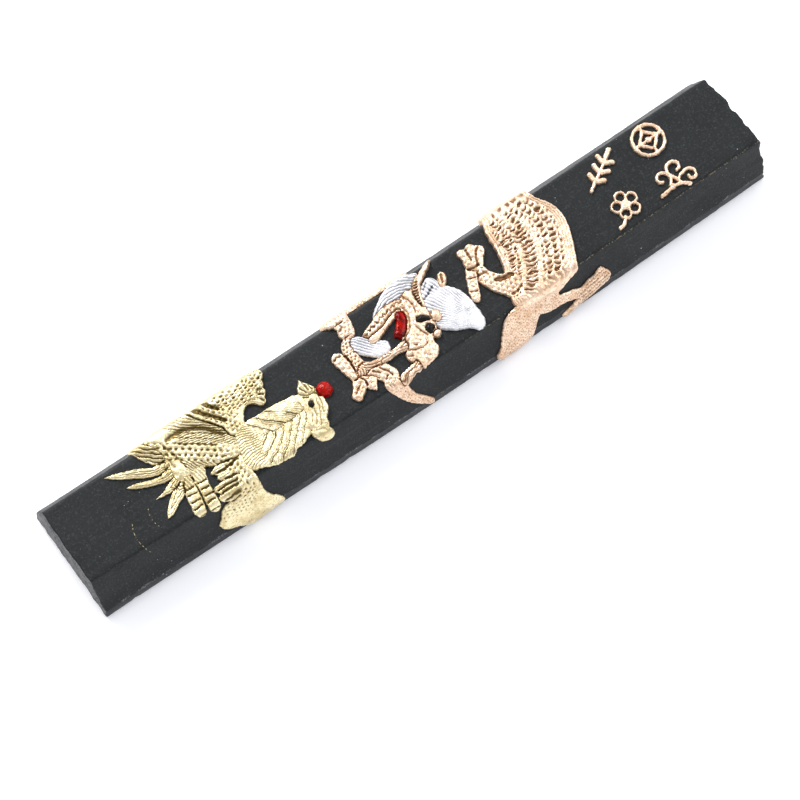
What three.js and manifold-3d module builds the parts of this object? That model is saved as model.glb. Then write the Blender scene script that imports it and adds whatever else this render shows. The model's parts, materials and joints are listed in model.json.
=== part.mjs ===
// A Chinese ink stick: a moulded bar of pressed black ink, lying on its back, with a phoenix, a dragon and
// four small ornaments standing proud of its face. Millimetres, +Z up. The origin is on the back face, under
// the middle of the bar. +X runs along the bar, from the phoenix towards the ornaments, and +Y across it.
import * as THREE from "three";
import { mergeVertices } from "three/addons/utils/BufferGeometryUtils.js";
import Module from "manifold-3d";

const wasm = await Module();
wasm.setup();

// ---- Driving dimensions of the bar ----
const LENGTH = 125; // rim to rim
const FACE_WIDTH = 13.5; // the flat face on top
const BODY_WIDTH = 19.1; // the widest line, where the two halves of the mould met
const THICKNESS = 9.9;
const WALL_HEIGHT = 2.85; // upright wall between the back and the widest line
const FACE_ROUND = 0.5; // radius where the face turns into the slope
const PARTING_ROUND = 0.35; // radius at the widest line
const BACK_ROUND = 0.45; // radius round the back
const END_CHAMFER = 0.5;
const END_BULGE = 1.4; // how far the untrimmed end swells past its rim
const END_BULGE_OFFSET = -4.5; // where across the bar that swelling is highest
const END_BULGE_FALL = 0.32; // how much of the swelling is lost half the width away from there
const SIDE_BOW = 0.6; // the bar dried bent, with its middle this far towards -Y
const SWELL = 0.03; // and its middle this share wider than its ends
const STATIONS = 26; // slices along the bar
const ROUND_STEPS = 2; // facets on each rounded edge

// ---- Driving dimensions of the relief ----
const SEAT_GAP = 0.02; // film between the bar and the underside of each relief
const FOLD_SNAP = 0.002; // a point this close to a fold of the skin is moved onto it
const RELIEF_CLEARANCE = 0.03; // groove left between neighbouring reliefs
const OUTLINE_STEP = 0.6; // longest side of a relief's outline
const ARC_STEPS = 6; // facets on half a turn of a round ornament line
const STROKE_WIDTH = 0.62; // width of a raised line in the four ornaments
const ORNAMENT_HEIGHT = 0.6;

// The figures are drawn on the bar's skin laid flat: x along the bar, s across it from the middle of the
// face. These are the sizes that the drawing was made for. It stretches with the bar's own sizes.
const DRAWN = { length: 125, face: 13.5, slope: 7.6, wall: 2.85 };

// ---- Cross-section ----

// One half of the section, from the middle of the face round to the middle of the back: places with the
// distance s along the skin, the point (y, z) and the outward normal. Rounded corners are split into facets.
function halfSection() {
  const corners = [
    { y: 0, z: THICKNESS },
    { y: FACE_WIDTH / 2, z: THICKNESS, round: FACE_ROUND },
    { y: BODY_WIDTH / 2, z: WALL_HEIGHT, round: PARTING_ROUND },
    { y: BODY_WIDTH / 2, z: 0, round: BACK_ROUND },
    { y: 0, z: 0 },
  ];
  const places = [];
  let travelled = 0;
  for (let i = 1; i < corners.length - 1; i++) {
    const [before, corner, after] = corners.slice(i - 1, i + 2);
    const into = new THREE.Vector2(corner.y - before.y, corner.z - before.z);
    const out = new THREE.Vector2(after.y - corner.y, after.z - corner.z);
    travelled += into.length();
    into.normalize();
    out.normalize();
    const turn = Math.acos(into.dot(out));
    const tangent = corner.round * Math.tan(turn / 2);
    const inward = new THREE.Vector2(into.y, -into.x); // points into the bar
    const start = new THREE.Vector2(corner.y, corner.z).addScaledVector(into, -tangent);
    const centre = start.clone().addScaledVector(inward, corner.round);
    for (let k = 0; k <= ROUND_STEPS; k++) {
      const share = k / ROUND_STEPS;
      const normal = inward.clone().negate().rotateAround(new THREE.Vector2(), -turn * share);
      const point = centre.clone().addScaledVector(normal, corner.round);
      const s = travelled + tangent * (2 * share - 1);
      places.push({ s, y: point.x, z: point.y, ny: normal.x, nz: normal.y });
    }
  }
  return places;
}

const HALF = halfSection();
const mirrored = (place) => ({ ...place, s: -place.s, y: -place.y, ny: -place.ny });
const SKIN = [...HALF.map(mirrored).reverse(), ...HALF];
const SLOPE = Math.hypot((BODY_WIDTH - FACE_WIDTH) / 2, THICKNESS - WALL_HEIGHT);

// From the drawing's s to the distance along the real skin, zone by zone: face, slope, wall.
function acrossSkin(s) {
  const from = Math.abs(s);
  const onFace = Math.min(from, DRAWN.face / 2);
  const onSlope = Math.min(Math.max(from - DRAWN.face / 2, 0), DRAWN.slope);
  const onWall = Math.max(from - DRAWN.face / 2 - DRAWN.slope, 0);
  const acrossFace = (onFace * FACE_WIDTH) / DRAWN.face;
  const downSides = (onSlope * SLOPE) / DRAWN.slope + (onWall * WALL_HEIGHT) / DRAWN.wall;
  return Math.sign(s) * (acrossFace + downSides);
}

// The bend and swelling that the bar took as it dried: moves a point of the straight bar.
function dried(x, y, z) {
  const middle = 1 - Math.min(1, Math.abs(x) / (LENGTH / 2)) ** 2;
  return new THREE.Vector3(x, y * (1 + SWELL * middle) - SIDE_BOW * middle, z);
}

// ---- Helpers ----

function toSolid(geometry) {
  const bare = geometry.clone();
  for (const name of ["normal", "uv"]) bare.deleteAttribute(name);
  const merged = mergeVertices(bare);
  const vertProperties = new Float32Array(merged.attributes.position.array);
  const triVerts = new Uint32Array(merged.index.array);
  return new wasm.Manifold(new wasm.Mesh({ numProp: 3, vertProperties, triVerts }));
}

function toGeometry(solid) {
  const mesh = solid.getMesh();
  const geometry = new THREE.BufferGeometry();
  geometry.setAttribute("position", new THREE.BufferAttribute(new Float32Array(mesh.vertProperties), 3));
  geometry.setIndex(new THREE.BufferAttribute(new Uint32Array(mesh.triVerts), 1));
  return geometry;
}

// Moves every vertex by a function of its x, y and z.
function moved(geometry, place) {
  const position = geometry.attributes.position;
  for (let i = 0; i < position.count; i++) {
    const to = place(position.getX(i), position.getY(i), position.getZ(i));
    position.setXYZ(i, to.x, to.y, to.z);
  }
  return geometry;
}

const largest = (solid) => solid.decompose().reduce((a, b) => (a.volume() > b.volume() ? a : b));

// A closed smooth outline through the drawing's points. A point given twice is a sharp corner.
function smooth(points) {
  const at = ([x, s]) => new THREE.Vector3((x * LENGTH) / DRAWN.length, acrossSkin(s), 0);
  const curve = new THREE.CatmullRomCurve3(points.map(at), true, "centripetal");
  const count = Math.max(8, Math.ceil(curve.getLength() / OUTLINE_STEP));
  return curve.getSpacedPoints(count).slice(0, -1).map((p) => new THREE.Vector2(p.x, p.y));
}

// The same outline moved outwards all round.
function grown(outline, by) {
  const side = THREE.ShapeUtils.isClockWise(outline) ? by : -by;
  return outline.map((point, i) => {
    const before = outline.at(i - 1);
    const after = outline[(i + 1) % outline.length];
    const along = after.clone().sub(before).normalize();
    return new THREE.Vector2(point.x - along.y * side, point.y + along.x * side);
  });
}

// A plate of that outline on the flat skin, between two heights.
function plate(shape, bottom, top) {
  const options = { depth: top - bottom, bevelEnabled: false, curveSegments: ARC_STEPS };
  return toSolid(new THREE.ExtrudeGeometry(shape, options).translate(0, 0, bottom));
}

// The point where an edge crosses the line s = at. Both triangles of the edge get the same point.
function crossing(p, q, at) {
  const [from, to] = p.y < q.y ? [p, q] : [q, p];
  const point = from.clone().lerp(to, (at - from.y) / (to.y - from.y));
  point.y = at;
  return point;
}

// Splits a triangle along the line s = at, so that the surface can be folded there.
function split(triangle, at) {
  const below = triangle.filter((p) => p.y < at).length;
  const above = triangle.filter((p) => p.y > at).length;
  if (below === 0 || above === 0) return [triangle];
  const alone = triangle.findIndex((p) => (above === 1 ? p.y > at : p.y < at));
  const [a, b, c] = [0, 1, 2].map((k) => triangle[(alone + k) % 3]);
  if (b.y === at) return [[a, b, crossing(c, a, at)], [b, c, crossing(c, a, at)]];
  if (c.y === at) return [[a, crossing(a, b, at), c], [crossing(a, b, at), b, c]];
  const [ab, ca] = [crossing(a, b, at), crossing(c, a, at)];
  return [[a, ab, ca], [ab, b, c], [ab, c, ca]];
}

// Lays a solid made on the flat skin (x along, y = s across, z = height) round the bar. The skin is flat
// between two of the section's places, so the surface is split there, and each strip is moved as a whole.
function onBar(solid) {
  const flat = toGeometry(solid).toNonIndexed().attributes.position;
  const folds = SKIN.map((place) => place.s);
  const point = (i) => {
    const p = new THREE.Vector3().fromBufferAttribute(flat, i);
    p.y = folds.find((s) => Math.abs(p.y - s) < FOLD_SNAP) ?? p.y;
    return p;
  };
  let triangles = [];
  for (let i = 0; i < flat.count; i += 3) triangles.push([point(i), point(i + 1), point(i + 2)]);
  for (const s of folds) triangles = triangles.flatMap((triangle) => split(triangle, s));
  const laid = triangles.flatMap((triangle) => {
    const middle = (triangle[0].y + triangle[1].y + triangle[2].y) / 3;
    const strip = Math.max(1, folds.findIndex((s) => s > middle));
    const [a, b] = [SKIN[strip - 1], SKIN[strip]];
    return triangle.map((p) => {
      const share = (p.y - a.s) / (b.s - a.s);
      const mix = (key) => THREE.MathUtils.lerp(a[key], b[key], share);
      return dried(p.x, mix("y") + p.z * mix("ny"), mix("z") + p.z * mix("nz"));
    });
  });
  return new THREE.BufferGeometry().setFromPoints(laid);
}

// ---- The bar ----

function inkBar() {
  const loop = [...SKIN].reverse().map((place) => new THREE.Vector2(place.y, place.z));
  const geometry = new THREE.ExtrudeGeometry(new THREE.Shape(loop), {
    depth: STATIONS,
    steps: STATIONS,
    bevelEnabled: false,
  });
  const inner = LENGTH / 2 - END_CHAMFER;
  return moved(geometry, (y, z, station) => {
    const atEnd = station < 0.5 || station > STATIONS - 0.5;
    const along = THREE.MathUtils.mapLinear(station, 1, STATIONS - 1, -inner, inner);
    const x = THREE.MathUtils.clamp(along, -LENGTH / 2, LENGTH / 2);
    const narrow = atEnd ? 1 - END_CHAMFER / (BODY_WIDTH / 2) : 1;
    const thin = atEnd ? 1 - END_CHAMFER / (THICKNESS / 2) : 1;
    const place = dried(x, y * narrow, THICKNESS / 2 + (z - THICKNESS / 2) * thin);
    if (station > STATIONS - 1.5) {
      const aside = (y - END_BULGE_OFFSET) / (BODY_WIDTH / 2);
      place.x += END_BULGE * (1 - END_BULGE_FALL * aside ** 2);
    }
    return place;
  });
}

// ---- The drawing: outlines of the phoenix and the dragon, as [x, s] points ----
// Height is how far a relief stands out of the bar. Where two outlines cross, the one listed first keeps its
// shape and the later one stops at its edge.

const ellipse = (x, s, along, across, tilt = 0, count = 12) =>
  Array.from({ length: count }, (_, i) => {
    const angle = (i / count) * 2 * Math.PI;
    const [u, v] = [along * Math.cos(angle), across * Math.sin(angle)];
    return [x + u * Math.cos(tilt) - v * Math.sin(tilt), s + u * Math.sin(tilt) + v * Math.cos(tilt)];
  });

const PHOENIX = [
  {
    name: "phoenix_eye",
    paint: "black_paint",
    height: 1.15,
    points: ellipse(-18.95, -2.1, 0.5, 0.27, 1.15, 8),
  },
  {
    name: "phoenix_crest",
    paint: "gold_paint",
    height: 0.85,
    points: [[-19.7, 0.5], [-19.2, 1.3], [-18.8, 1.7], [-18.3, 2.3], [-18.3, 2.3], [-17.9, 1.6],
      [-17.4, 0.9], [-16.9, -0.1], [-17.6, -0.7], [-18.7, -0.5]],
  },
  {
    name: "phoenix_head",
    paint: "gold_paint",
    height: 1.0,
    points: [[-20.2, 0.5], [-19.0, 0.2], [-17.6, 0.2], [-16.9, -0.3], [-16.7, -1.4], [-16.7, -2.6],
      [-16.9, -3.7], [-17.4, -4.4], [-18.1, -5.1], [-18.3, -5.8], [-19.8, -5.6], [-21.3, -5.9],
      [-21.0, -4.4], [-20.4, -2.9], [-20.3, -1.2]],
  },
  {
    name: "phoenix_beak",
    paint: "gold_paint",
    height: 0.7,
    points: [[-21.6, -5.6], [-21.3, -7.0], [-20.5, -7.9], [-19.5, -8.3], [-18.6, -8.0], [-18.3, -7.1],
      [-18.6, -6.5], [-18.1, -5.4]],
  },
  {
    name: "phoenix_neck",
    paint: "gold_paint",
    height: 0.9,
    points: [[-20.0, 0.6], [-21.5, 0.8], [-23.0, 1.05], [-24.6, 1.2], [-26.5, 1.15], [-28.6, 1.25],
      [-29.8, 0.7], [-31.0, 0.5], [-31.8, -1.4], [-32.4, -3.4], [-32.5, -5.2], [-31.8, -5.9],
      [-30.8, -6.1], [-29.6, -6.6], [-28.4, -6.9], [-27.0, -6.95], [-25.6, -7.0], [-24.6, -6.6],
      [-23.2, -6.4], [-22.3, -6.0], [-20.6, -5.4], [-19.8, -3.0], [-19.6, -1.0]],
  },
  {
    name: "phoenix_raised_wing",
    paint: "gold_paint",
    height: 0.8,
    points: [[-35.8, 8.2], [-35.0, 6.4], [-33.5, 4.3], [-32.2, 2.4], [-31.7, 0.6], [-30.4, -0.2],
      [-28.9, 0.9], [-28.6, 1.7], [-28.1, 2.5], [-27.4, 3.15], [-26.6, 3.3], [-25.9, 2.9], [-25.4, 2.2],
      [-24.8, 1.9], [-24.1, 2.4], [-23.9, 3.1], [-23.3, 3.6], [-23.4, 4.3], [-22.9, 4.8], [-22.8, 5.4],
      [-22.2, 5.9], [-22.1, 6.8], [-22.9, 8.0], [-24.0, 9.3], [-25.4, 9.9], [-27.2, 11.0], [-29.0, 11.0],
      [-30.8, 11.6], [-32.6, 10.9], [-34.4, 10.6]],
  },
  {
    name: "phoenix_rear_leg",
    paint: "gold_paint",
    height: 0.65,
    points: [[-41.4, -1.0], [-42.3, -2.4], [-42.9, -3.8], [-43.1, -5.3], [-43.3, -6.7], [-42.8, -7.3],
      [-42.0, -7.4], [-41.5, -7.1], [-41.2, -6.0], [-40.8, -4.4], [-40.6, -2.6], [-40.4, -1.1]],
  },
  {
    name: "phoenix_front_leg",
    paint: "gold_paint",
    height: 0.6,
    points: [[-40.3, -1.0], [-40.5, -3.2], [-40.7, -4.8], [-41.0, -6.4], [-40.9, -7.6], [-40.3, -8.2],
      [-39.5, -8.2], [-39.1, -7.2], [-38.9, -5.2], [-38.7, -3.8], [-38.3, -2.4], [-37.9, -1.1]],
  },
  {
    name: "phoenix_body",
    paint: "gold_paint",
    height: 0.9,
    points: [[-43.2, 7.4], [-42.5, 5.4], [-42.0, 3.2], [-42.2, 1.4], [-42.5, -0.4], [-41.8, -1.5],
      [-40.0, -1.4], [-38.2, -1.1], [-36.4, -1.9], [-34.4, -2.3], [-32.4, -2.6], [-31.0, -1.0],
      [-31.2, 0.6], [-32.0, 2.4], [-33.2, 4.4], [-34.6, 6.4], [-35.6, 8.4], [-37.4, 10.4], [-39.6, 9.9],
      [-41.6, 10.3]],
  },
  {
    name: "phoenix_lowered_wing",
    paint: "gold_paint",
    height: 0.7,
    points: [[-35.6, -2.0], [-36.8, -2.1], [-38.0, -2.7], [-38.0, -2.7], [-37.0, -3.3], [-37.5, -4.0],
      [-36.6, -4.5], [-38.9, -4.8], [-39.0, -5.5], [-38.2, -5.9], [-39.0, -6.5], [-38.6, -7.2],
      [-37.7, -7.8], [-37.5, -8.6], [-36.0, -8.7], [-34.0, -8.5], [-32.2, -8.1], [-32.1, -7.0],
      [-32.2, -5.6], [-32.1, -4.0], [-32.2, -2.2], [-33.6, -1.9]],
  },
  {
    name: "phoenix_wing_tip",
    paint: "gold_paint",
    height: 0.5,
    points: [[-37.6, -8.2], [-38.9, -8.7], [-39.5, -9.6], [-39.9, -10.7], [-40.5, -11.7], [-40.2, -12.9],
      [-39.2, -13.7], [-37.8, -14.3], [-36.8, -15.3], [-35.6, -16.4], [-34.2, -16.5], [-32.8, -15.9],
      [-31.0, -15.7], [-29.6, -15.4], [-29.4, -14.6], [-30.0, -13.4], [-31.0, -12.2], [-31.7, -10.9],
      [-32.0, -9.4], [-32.2, -7.8], [-34.0, -7.9], [-36.0, -8.2]],
  },
  {
    name: "phoenix_tail_plume_1",
    paint: "gold_paint",
    height: 0.55,
    points: [[-45.9, 6.9], [-45.2, 5.2], [-44.6, 4.2], [-43.7, 3.2], [-42.4, 3.0], [-41.6, 4.0],
      [-42.2, 5.6], [-42.8, 7.2], [-43.6, 8.8], [-45.3, 10.6], [-45.3, 10.6], [-46.0, 8.8]],
  },
  {
    name: "phoenix_tail_plume_2",
    paint: "gold_paint",
    height: 0.55,
    points: [[-51.3, 5.85], [-51.3, 5.85], [-49.9, 5.6], [-48.3, 5.0], [-46.7, 4.4], [-45.4, 3.75],
      [-44.4, 3.15], [-43.2, 3.1], [-41.8, 3.3], [-41.4, 2.6], [-42.4, 1.9], [-43.8, 1.65], [-45.1, 1.9],
      [-46.5, 2.6], [-48.2, 3.6], [-50.0, 4.7]],
  },
  {
    name: "phoenix_tail_plume_3",
    paint: "gold_paint",
    height: 0.55,
    points: [[-49.4, 2.65], [-49.4, 2.65], [-47.9, 2.45], [-46.4, 1.9], [-45.1, 1.5], [-43.8, 1.4],
      [-42.2, 1.9], [-41.6, 1.4], [-41.9, 0.5], [-43.2, 0.1], [-44.8, 0.35], [-46.1, 0.75], [-47.6, 1.4],
      [-48.9, 2.1]],
  },
  {
    name: "phoenix_tail_plume_4",
    paint: "gold_paint",
    height: 0.5,
    points: [[-46.8, -1.35], [-46.8, -1.35], [-45.2, -0.95], [-43.9, -0.4], [-42.9, 0.0], [-41.9, 0.3],
      [-41.8, -0.8], [-42.6, -1.3], [-43.9, -1.65], [-45.1, -1.65]],
  },
  {
    name: "phoenix_tail_plume_5",
    paint: "gold_paint",
    height: 0.5,
    points: [[-47.0, -4.9], [-47.0, -4.9], [-46.5, -4.0], [-45.7, -3.1], [-44.9, -2.4], [-43.9, -1.7],
      [-42.6, -1.2], [-41.7, -1.4], [-42.2, -2.6], [-42.9, -3.2], [-44.0, -3.7], [-45.1, -4.3],
      [-46.0, -4.8]],
  },
];

const DRAGON = [
  {
    name: "dragon_upper_eye",
    paint: "black_paint",
    height: 1.25,
    points: [[2.05, -0.4], [2.2, 0.0], [2.7, 0.15], [3.1, -0.1], [3.5, -0.5], [4.0, -0.85], [4.1, -1.2],
      [3.3, -1.0], [2.8, -0.75], [2.35, -0.75]],
  },
  {
    name: "dragon_lower_eye",
    paint: "black_paint",
    height: 1.2,
    points: [[2.4, -2.4], [2.6, -1.8], [3.1, -1.6], [3.5, -2.0], [3.75, -2.5], [3.3, -2.8],
      [2.95, -3.15], [2.6, -3.0]],
  },
  {
    name: "dragon_upper_brow",
    paint: "rose_gold_paint",
    height: 1.15,
    points: ellipse(4.95, -1.2, 0.85, 0.9),
  },
  {
    name: "dragon_lower_brow",
    paint: "rose_gold_paint",
    height: 0.95,
    points: ellipse(3.55, -3.55, 0.85, 0.62, 0.2),
  },
  {
    name: "dragon_tongue",
    paint: "red_paint",
    height: 0.75,
    points: [[-2.25, -0.3], [-1.7, -0.9], [-1.15, -1.3], [-0.6, -1.0], [0.1, -0.3], [0.8, 0.6],
      [1.15, 1.3], [1.2, 2.0], [0.9, 2.5], [0.4, 2.75], [-0.15, 2.4], [-0.5, 1.7], [-1.2, 0.9],
      [-1.9, 0.2]],
  },
  {
    name: "dragon_horn",
    paint: "rose_gold_paint",
    height: 1.1,
    points: [[4.1, 1.2], [4.0, 2.6], [4.3, 4.0], [5.0, 5.1], [6.2, 5.7], [7.4, 6.2], [8.6, 6.6],
      [9.7, 6.75], [9.7, 6.75], [9.0, 6.0], [8.0, 5.4], [7.0, 4.8], [6.2, 4.3], [5.6, 3.7], [5.1, 2.8],
      [4.8, 1.8], [4.6, 0.9]],
  },
  {
    name: "dragon_ear",
    paint: "rose_gold_paint",
    height: 0.85,
    points: [[8.3, 2.2], [8.5, 3.2], [8.9, 4.0], [9.5, 4.4], [10.0, 4.2], [10.2, 3.5], [10.0, 2.8],
      [9.5, 2.3], [9.0, 1.9]],
  },
  {
    name: "dragon_upper_whisker",
    paint: "rose_gold_paint",
    height: 0.85,
    points: [[-1.3, -1.6], [-3.0, -1.75], [-5.0, -1.85], [-7.0, -1.6], [-8.5, -1.1], [-9.6, -1.3],
      [-10.4, -2.2], [-9.7, -2.8], [-8.2, -2.5], [-6.5, -2.8], [-5.0, -3.0], [-3.2, -2.9], [-1.5, -3.1]],
  },
  {
    name: "dragon_lower_whisker",
    paint: "rose_gold_paint",
    height: 0.8,
    points: [[-1.7, -5.2], [-2.4, -5.35], [-3.5, -5.5], [-4.5, -5.7], [-5.3, -6.1], [-5.4, -7.0],
      [-4.8, -7.75], [-4.0, -7.15], [-3.0, -6.9], [-1.5, -6.75]],
  },
  {
    name: "dragon_upper_lip",
    paint: "rose_gold_paint",
    height: 0.75,
    points: [[-5.6, 1.6], [-4.2, 1.8], [-2.6, 2.1], [-1.2, 2.6], [0.2, 2.95], [1.2, 2.8], [0.6, 2.2],
      [-0.7, 1.9], [-2.2, 1.4], [-3.4, 1.0], [-4.3, 0.6], [-5.4, 0.6], [-5.9, 1.1]],
  },
  {
    name: "dragon_upper_jaw",
    paint: "rose_gold_paint",
    height: 1.0,
    points: [[-6.2, 2.5], [-5.0, 3.15], [-3.7, 3.6], [-2.6, 4.1], [-1.2, 4.5], [0.4, 4.5], [1.6, 4.3],
      [2.2, 3.6], [1.4, 2.7], [0.0, 2.7], [-1.2, 2.4], [-2.5, 1.9], [-4.0, 1.7], [-5.3, 1.5],
      [-5.9, 1.9]],
  },
  {
    name: "dragon_face",
    paint: "rose_gold_paint",
    height: 1.1,
    points: [[1.0, 2.9], [1.7, 4.0], [2.8, 4.5], [4.2, 4.5], [4.6, 3.0], [4.5, 1.4], [4.5, 0.0],
      [4.3, -1.4], [4.1, -2.6], [3.5, -3.6], [2.6, -3.9], [2.35, -4.4], [2.5, -5.2], [2.1, -6.0],
      [1.2, -6.5], [-0.2, -6.7], [-1.9, -6.8], [-2.2, -6.0], [-2.1, -5.3], [-2.6, -5.0], [-2.6, -4.2],
      [-2.5, -3.5], [-1.8, -3.1], [-1.6, -2.3], [-1.8, -1.7], [-1.4, -1.1], [-0.4, -0.8], [0.7, 0.4],
      [1.1, 1.4]],
  },
  {
    name: "dragon_front_mane",
    paint: "silver_paint",
    height: 0.8,
    points: [[-3.3, 3.7], [-2.4, 4.8], [-1.5, 5.4], [-0.6, 6.0], [0.4, 6.5], [1.8, 6.9], [3.2, 7.3],
      [4.6, 7.2], [5.6, 6.6], [6.7, 6.2], [6.4, 5.4], [5.2, 4.9], [4.2, 4.2], [3.0, 4.2], [1.6, 4.0],
      [0.2, 4.2], [-1.2, 4.2], [-2.3, 3.9]],
  },
  {
    name: "dragon_back_mane",
    paint: "silver_paint",
    height: 0.85,
    points: [[4.9, 2.4], [5.5, 3.5], [6.4, 4.3], [7.4, 4.7], [8.1, 4.3], [8.6, 3.2], [8.9, 2.3],
      [9.7, 1.5], [10.4, 0.5], [10.9, -0.8], [11.05, -2.2], [11.15, -3.8], [11.0, -5.4], [10.7, -6.3],
      [10.0, -6.7], [9.3, -6.9], [8.9, -6.3], [8.2, -5.7], [7.0, -5.1], [6.0, -4.6], [5.2, -4.0],
      [4.4, -3.3], [4.1, -2.2], [4.3, -0.6], [4.6, 1.0]],
  },
  {
    name: "dragon_foreleg",
    paint: "rose_gold_paint",
    height: 0.85,
    points: [[-10.6, 7.0], [-9.9, 6.4], [-8.9, 5.8], [-9.1, 4.8], [-9.2, 4.2], [-8.7, 3.5], [-7.6, 3.2],
      [-6.9, 3.3], [-6.5, 4.2], [-6.2, 5.1], [-6.1, 6.0], [-6.1, 7.0], [-6.6, 8.6], [-8.2, 9.4],
      [-9.9, 9.0], [-10.7, 8.0]],
  },
  {
    name: "dragon_beard",
    paint: "silver_paint",
    height: 0.7,
    points: [[-8.4, 2.5], [-7.8, 3.2], [-7.0, 3.1], [-6.3, 2.5], [-5.6, 1.7], [-5.2, 1.0], [-4.4, 0.5],
      [-3.7, 0.2], [-3.35, -0.5], [-3.5, -1.2], [-4.1, -1.8], [-5.2, -1.9], [-6.0, -1.8], [-6.8, -1.1],
      [-7.5, -0.4], [-8.2, 0.3], [-8.5, 1.3]],
  },
  {
    name: "dragon_fore_toe_1",
    paint: "rose_gold_paint",
    height: 0.75,
    points: [[-10.4, 1.7], [-10.6, 2.2], [-11.3, 2.6], [-12.1, 2.4], [-12.4, 1.6], [-12.2, 0.2],
      [-11.9, -1.2], [-11.6, -2.4], [-10.7, -2.7], [-10.3, -1.0], [-10.2, 0.4]],
  },
  {
    name: "dragon_fore_toe_2",
    paint: "rose_gold_paint",
    height: 0.75,
    points: [[-11.5, -2.4], [-12.3, -3.5], [-13.2, -4.6], [-13.1, -5.2], [-12.6, -5.7], [-11.9, -5.7],
      [-11.3, -5.2], [-10.6, -4.7], [-10.0, -4.2], [-10.1, -3.2], [-10.6, -2.5]],
  },
  {
    name: "dragon_fore_toe_3",
    paint: "rose_gold_paint",
    height: 0.7,
    points: [[-10.1, -4.0], [-10.4, -4.7], [-9.8, -5.3], [-9.4, -5.7], [-8.9, -5.4], [-8.7, -4.8],
      [-8.2, -4.3], [-8.9, -3.6], [-9.6, -3.5]],
  },
  {
    name: "dragon_forepaw",
    paint: "rose_gold_paint",
    height: 0.8,
    points: [[-9.9, 2.9], [-8.9, 3.7], [-8.0, 3.3], [-8.2, 1.8], [-8.4, 0.2], [-8.2, -1.0], [-7.2, -1.9],
      [-6.0, -2.7], [-5.4, -3.6], [-4.95, -4.6], [-4.9, -5.3], [-5.6, -5.9], [-6.8, -5.9], [-7.7, -5.4],
      [-8.0, -4.7], [-8.6, -4.3], [-9.3, -4.1], [-10.1, -3.7], [-10.7, -2.9], [-10.7, -1.5],
      [-10.4, 0.2], [-10.3, 1.7]],
  },
  {
    name: "dragon_flame",
    paint: "rose_gold_paint",
    height: 0.55,
    points: [[-7.8, -5.4], [-8.0, -6.7], [-7.4, -8.0], [-6.8, -9.3], [-6.0, -10.8], [-5.0, -12.2],
      [-3.8, -13.4], [-2.6, -14.4], [-1.5, -15.3], [-1.5, -15.3], [-1.4, -14.3], [-2.0, -13.2],
      [-3.0, -12.0], [-3.9, -10.6], [-4.4, -9.2], [-4.8, -7.8], [-5.1, -6.4], [-5.4, -5.6],
      [-6.8, -5.5]],
  },
  {
    name: "dragon_shoulder",
    paint: "rose_gold_paint",
    height: 0.75,
    points: [[-5.8, 7.5], [-4.0, 7.7], [-1.5, 7.5], [1.5, 7.5], [3.2, 7.7], [4.8, 7.6], [5.8, 8.4],
      [4.4, 9.9], [1.0, 10.7], [-2.5, 10.6], [-5.5, 10.1], [-7.3, 9.1], [-6.6, 8.2]],
  },
  {
    name: "dragon_middle_paw",
    paint: "rose_gold_paint",
    height: 0.85,
    points: [[13.4, 4.9], [13.6, 5.4], [14.4, 5.45], [15.0, 5.2], [15.5, 5.5], [16.2, 5.4], [16.6, 4.8],
      [17.4, 4.3], [17.7, 3.7], [17.4, 3.1], [16.9, 2.6], [16.3, 1.9], [15.9, 1.3], [15.0, 1.2],
      [14.2, 1.5], [13.5, 2.0], [13.3, 2.8], [13.6, 3.8]],
  },
  {
    name: "dragon_middle_toe",
    paint: "rose_gold_paint",
    height: 0.75,
    points: [[13.4, 2.6], [12.6, 1.5], [12.0, 0.4], [11.5, -0.7], [11.15, -1.8], [11.2, -2.6],
      [11.6, -3.1], [12.2, -3.0], [12.6, -2.3], [13.1, -1.4], [13.5, -0.6], [14.0, 0.3], [14.4, 1.3]],
  },
  {
    name: "dragon_middle_leg",
    paint: "rose_gold_paint",
    height: 0.9,
    points: [[14.1, 1.4], [13.7, 0.2], [13.9, -1.2], [14.5, -2.6], [15.2, -3.7], [15.9, -4.7],
      [16.1, -5.3], [17.0, -5.6], [18.4, -5.2], [19.2, -3.8], [18.8, -2.4], [17.5, -1.5], [16.6, -0.7],
      [15.9, 0.6], [15.8, 1.5]],
  },
  {
    name: "dragon_body",
    paint: "rose_gold_paint",
    height: 1.1,
    points: [[19.9, 7.2], [19.2, 5.6], [18.95, 4.2], [18.9, 2.8], [18.6, 1.4], [18.3, 0.0], [17.9, -1.1],
      [17.0, -2.4], [16.4, -4.0], [16.1, -5.4], [15.9, -6.2], [16.1, -7.0], [18.0, -7.4], [20.0, -7.8],
      [22.0, -8.3], [23.4, -9.0], [23.4, -9.0], [24.4, -8.3], [25.8, -7.6], [27.6, -7.0], [28.4, -5.8],
      [29.2, -4.2], [30.1, -2.2], [30.7, -0.4], [30.9, 1.2], [30.7, 2.8], [30.1, 4.2], [29.3, 5.4],
      [28.7, 6.8], [28.7, 8.6], [28.0, 10.6], [26.2, 12.2], [23.6, 12.8], [21.2, 11.8], [20.0, 9.8]],
  },
  {
    name: "dragon_tail",
    paint: "rose_gold_paint",
    height: 0.6,
    points: [[17.0, -6.4], [15.0, -7.1], [13.9, -7.7], [13.2, -8.6], [12.7, -9.8], [12.2, -11.0],
      [11.8, -12.4], [11.3, -13.5], [10.7, -13.9], [10.6, -14.8], [10.9, -15.9], [12.0, -16.4],
      [13.6, -16.5], [15.2, -16.4], [16.6, -15.7], [17.4, -14.6], [18.2, -13.3], [18.8, -12.2],
      [19.4, -11.3], [20.3, -10.2], [20.9, -8.9], [21.0, -7.4], [19.4, -6.4]],
  },
  {
    name: "dragon_hind_leg",
    paint: "rose_gold_paint",
    height: 0.55,
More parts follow.
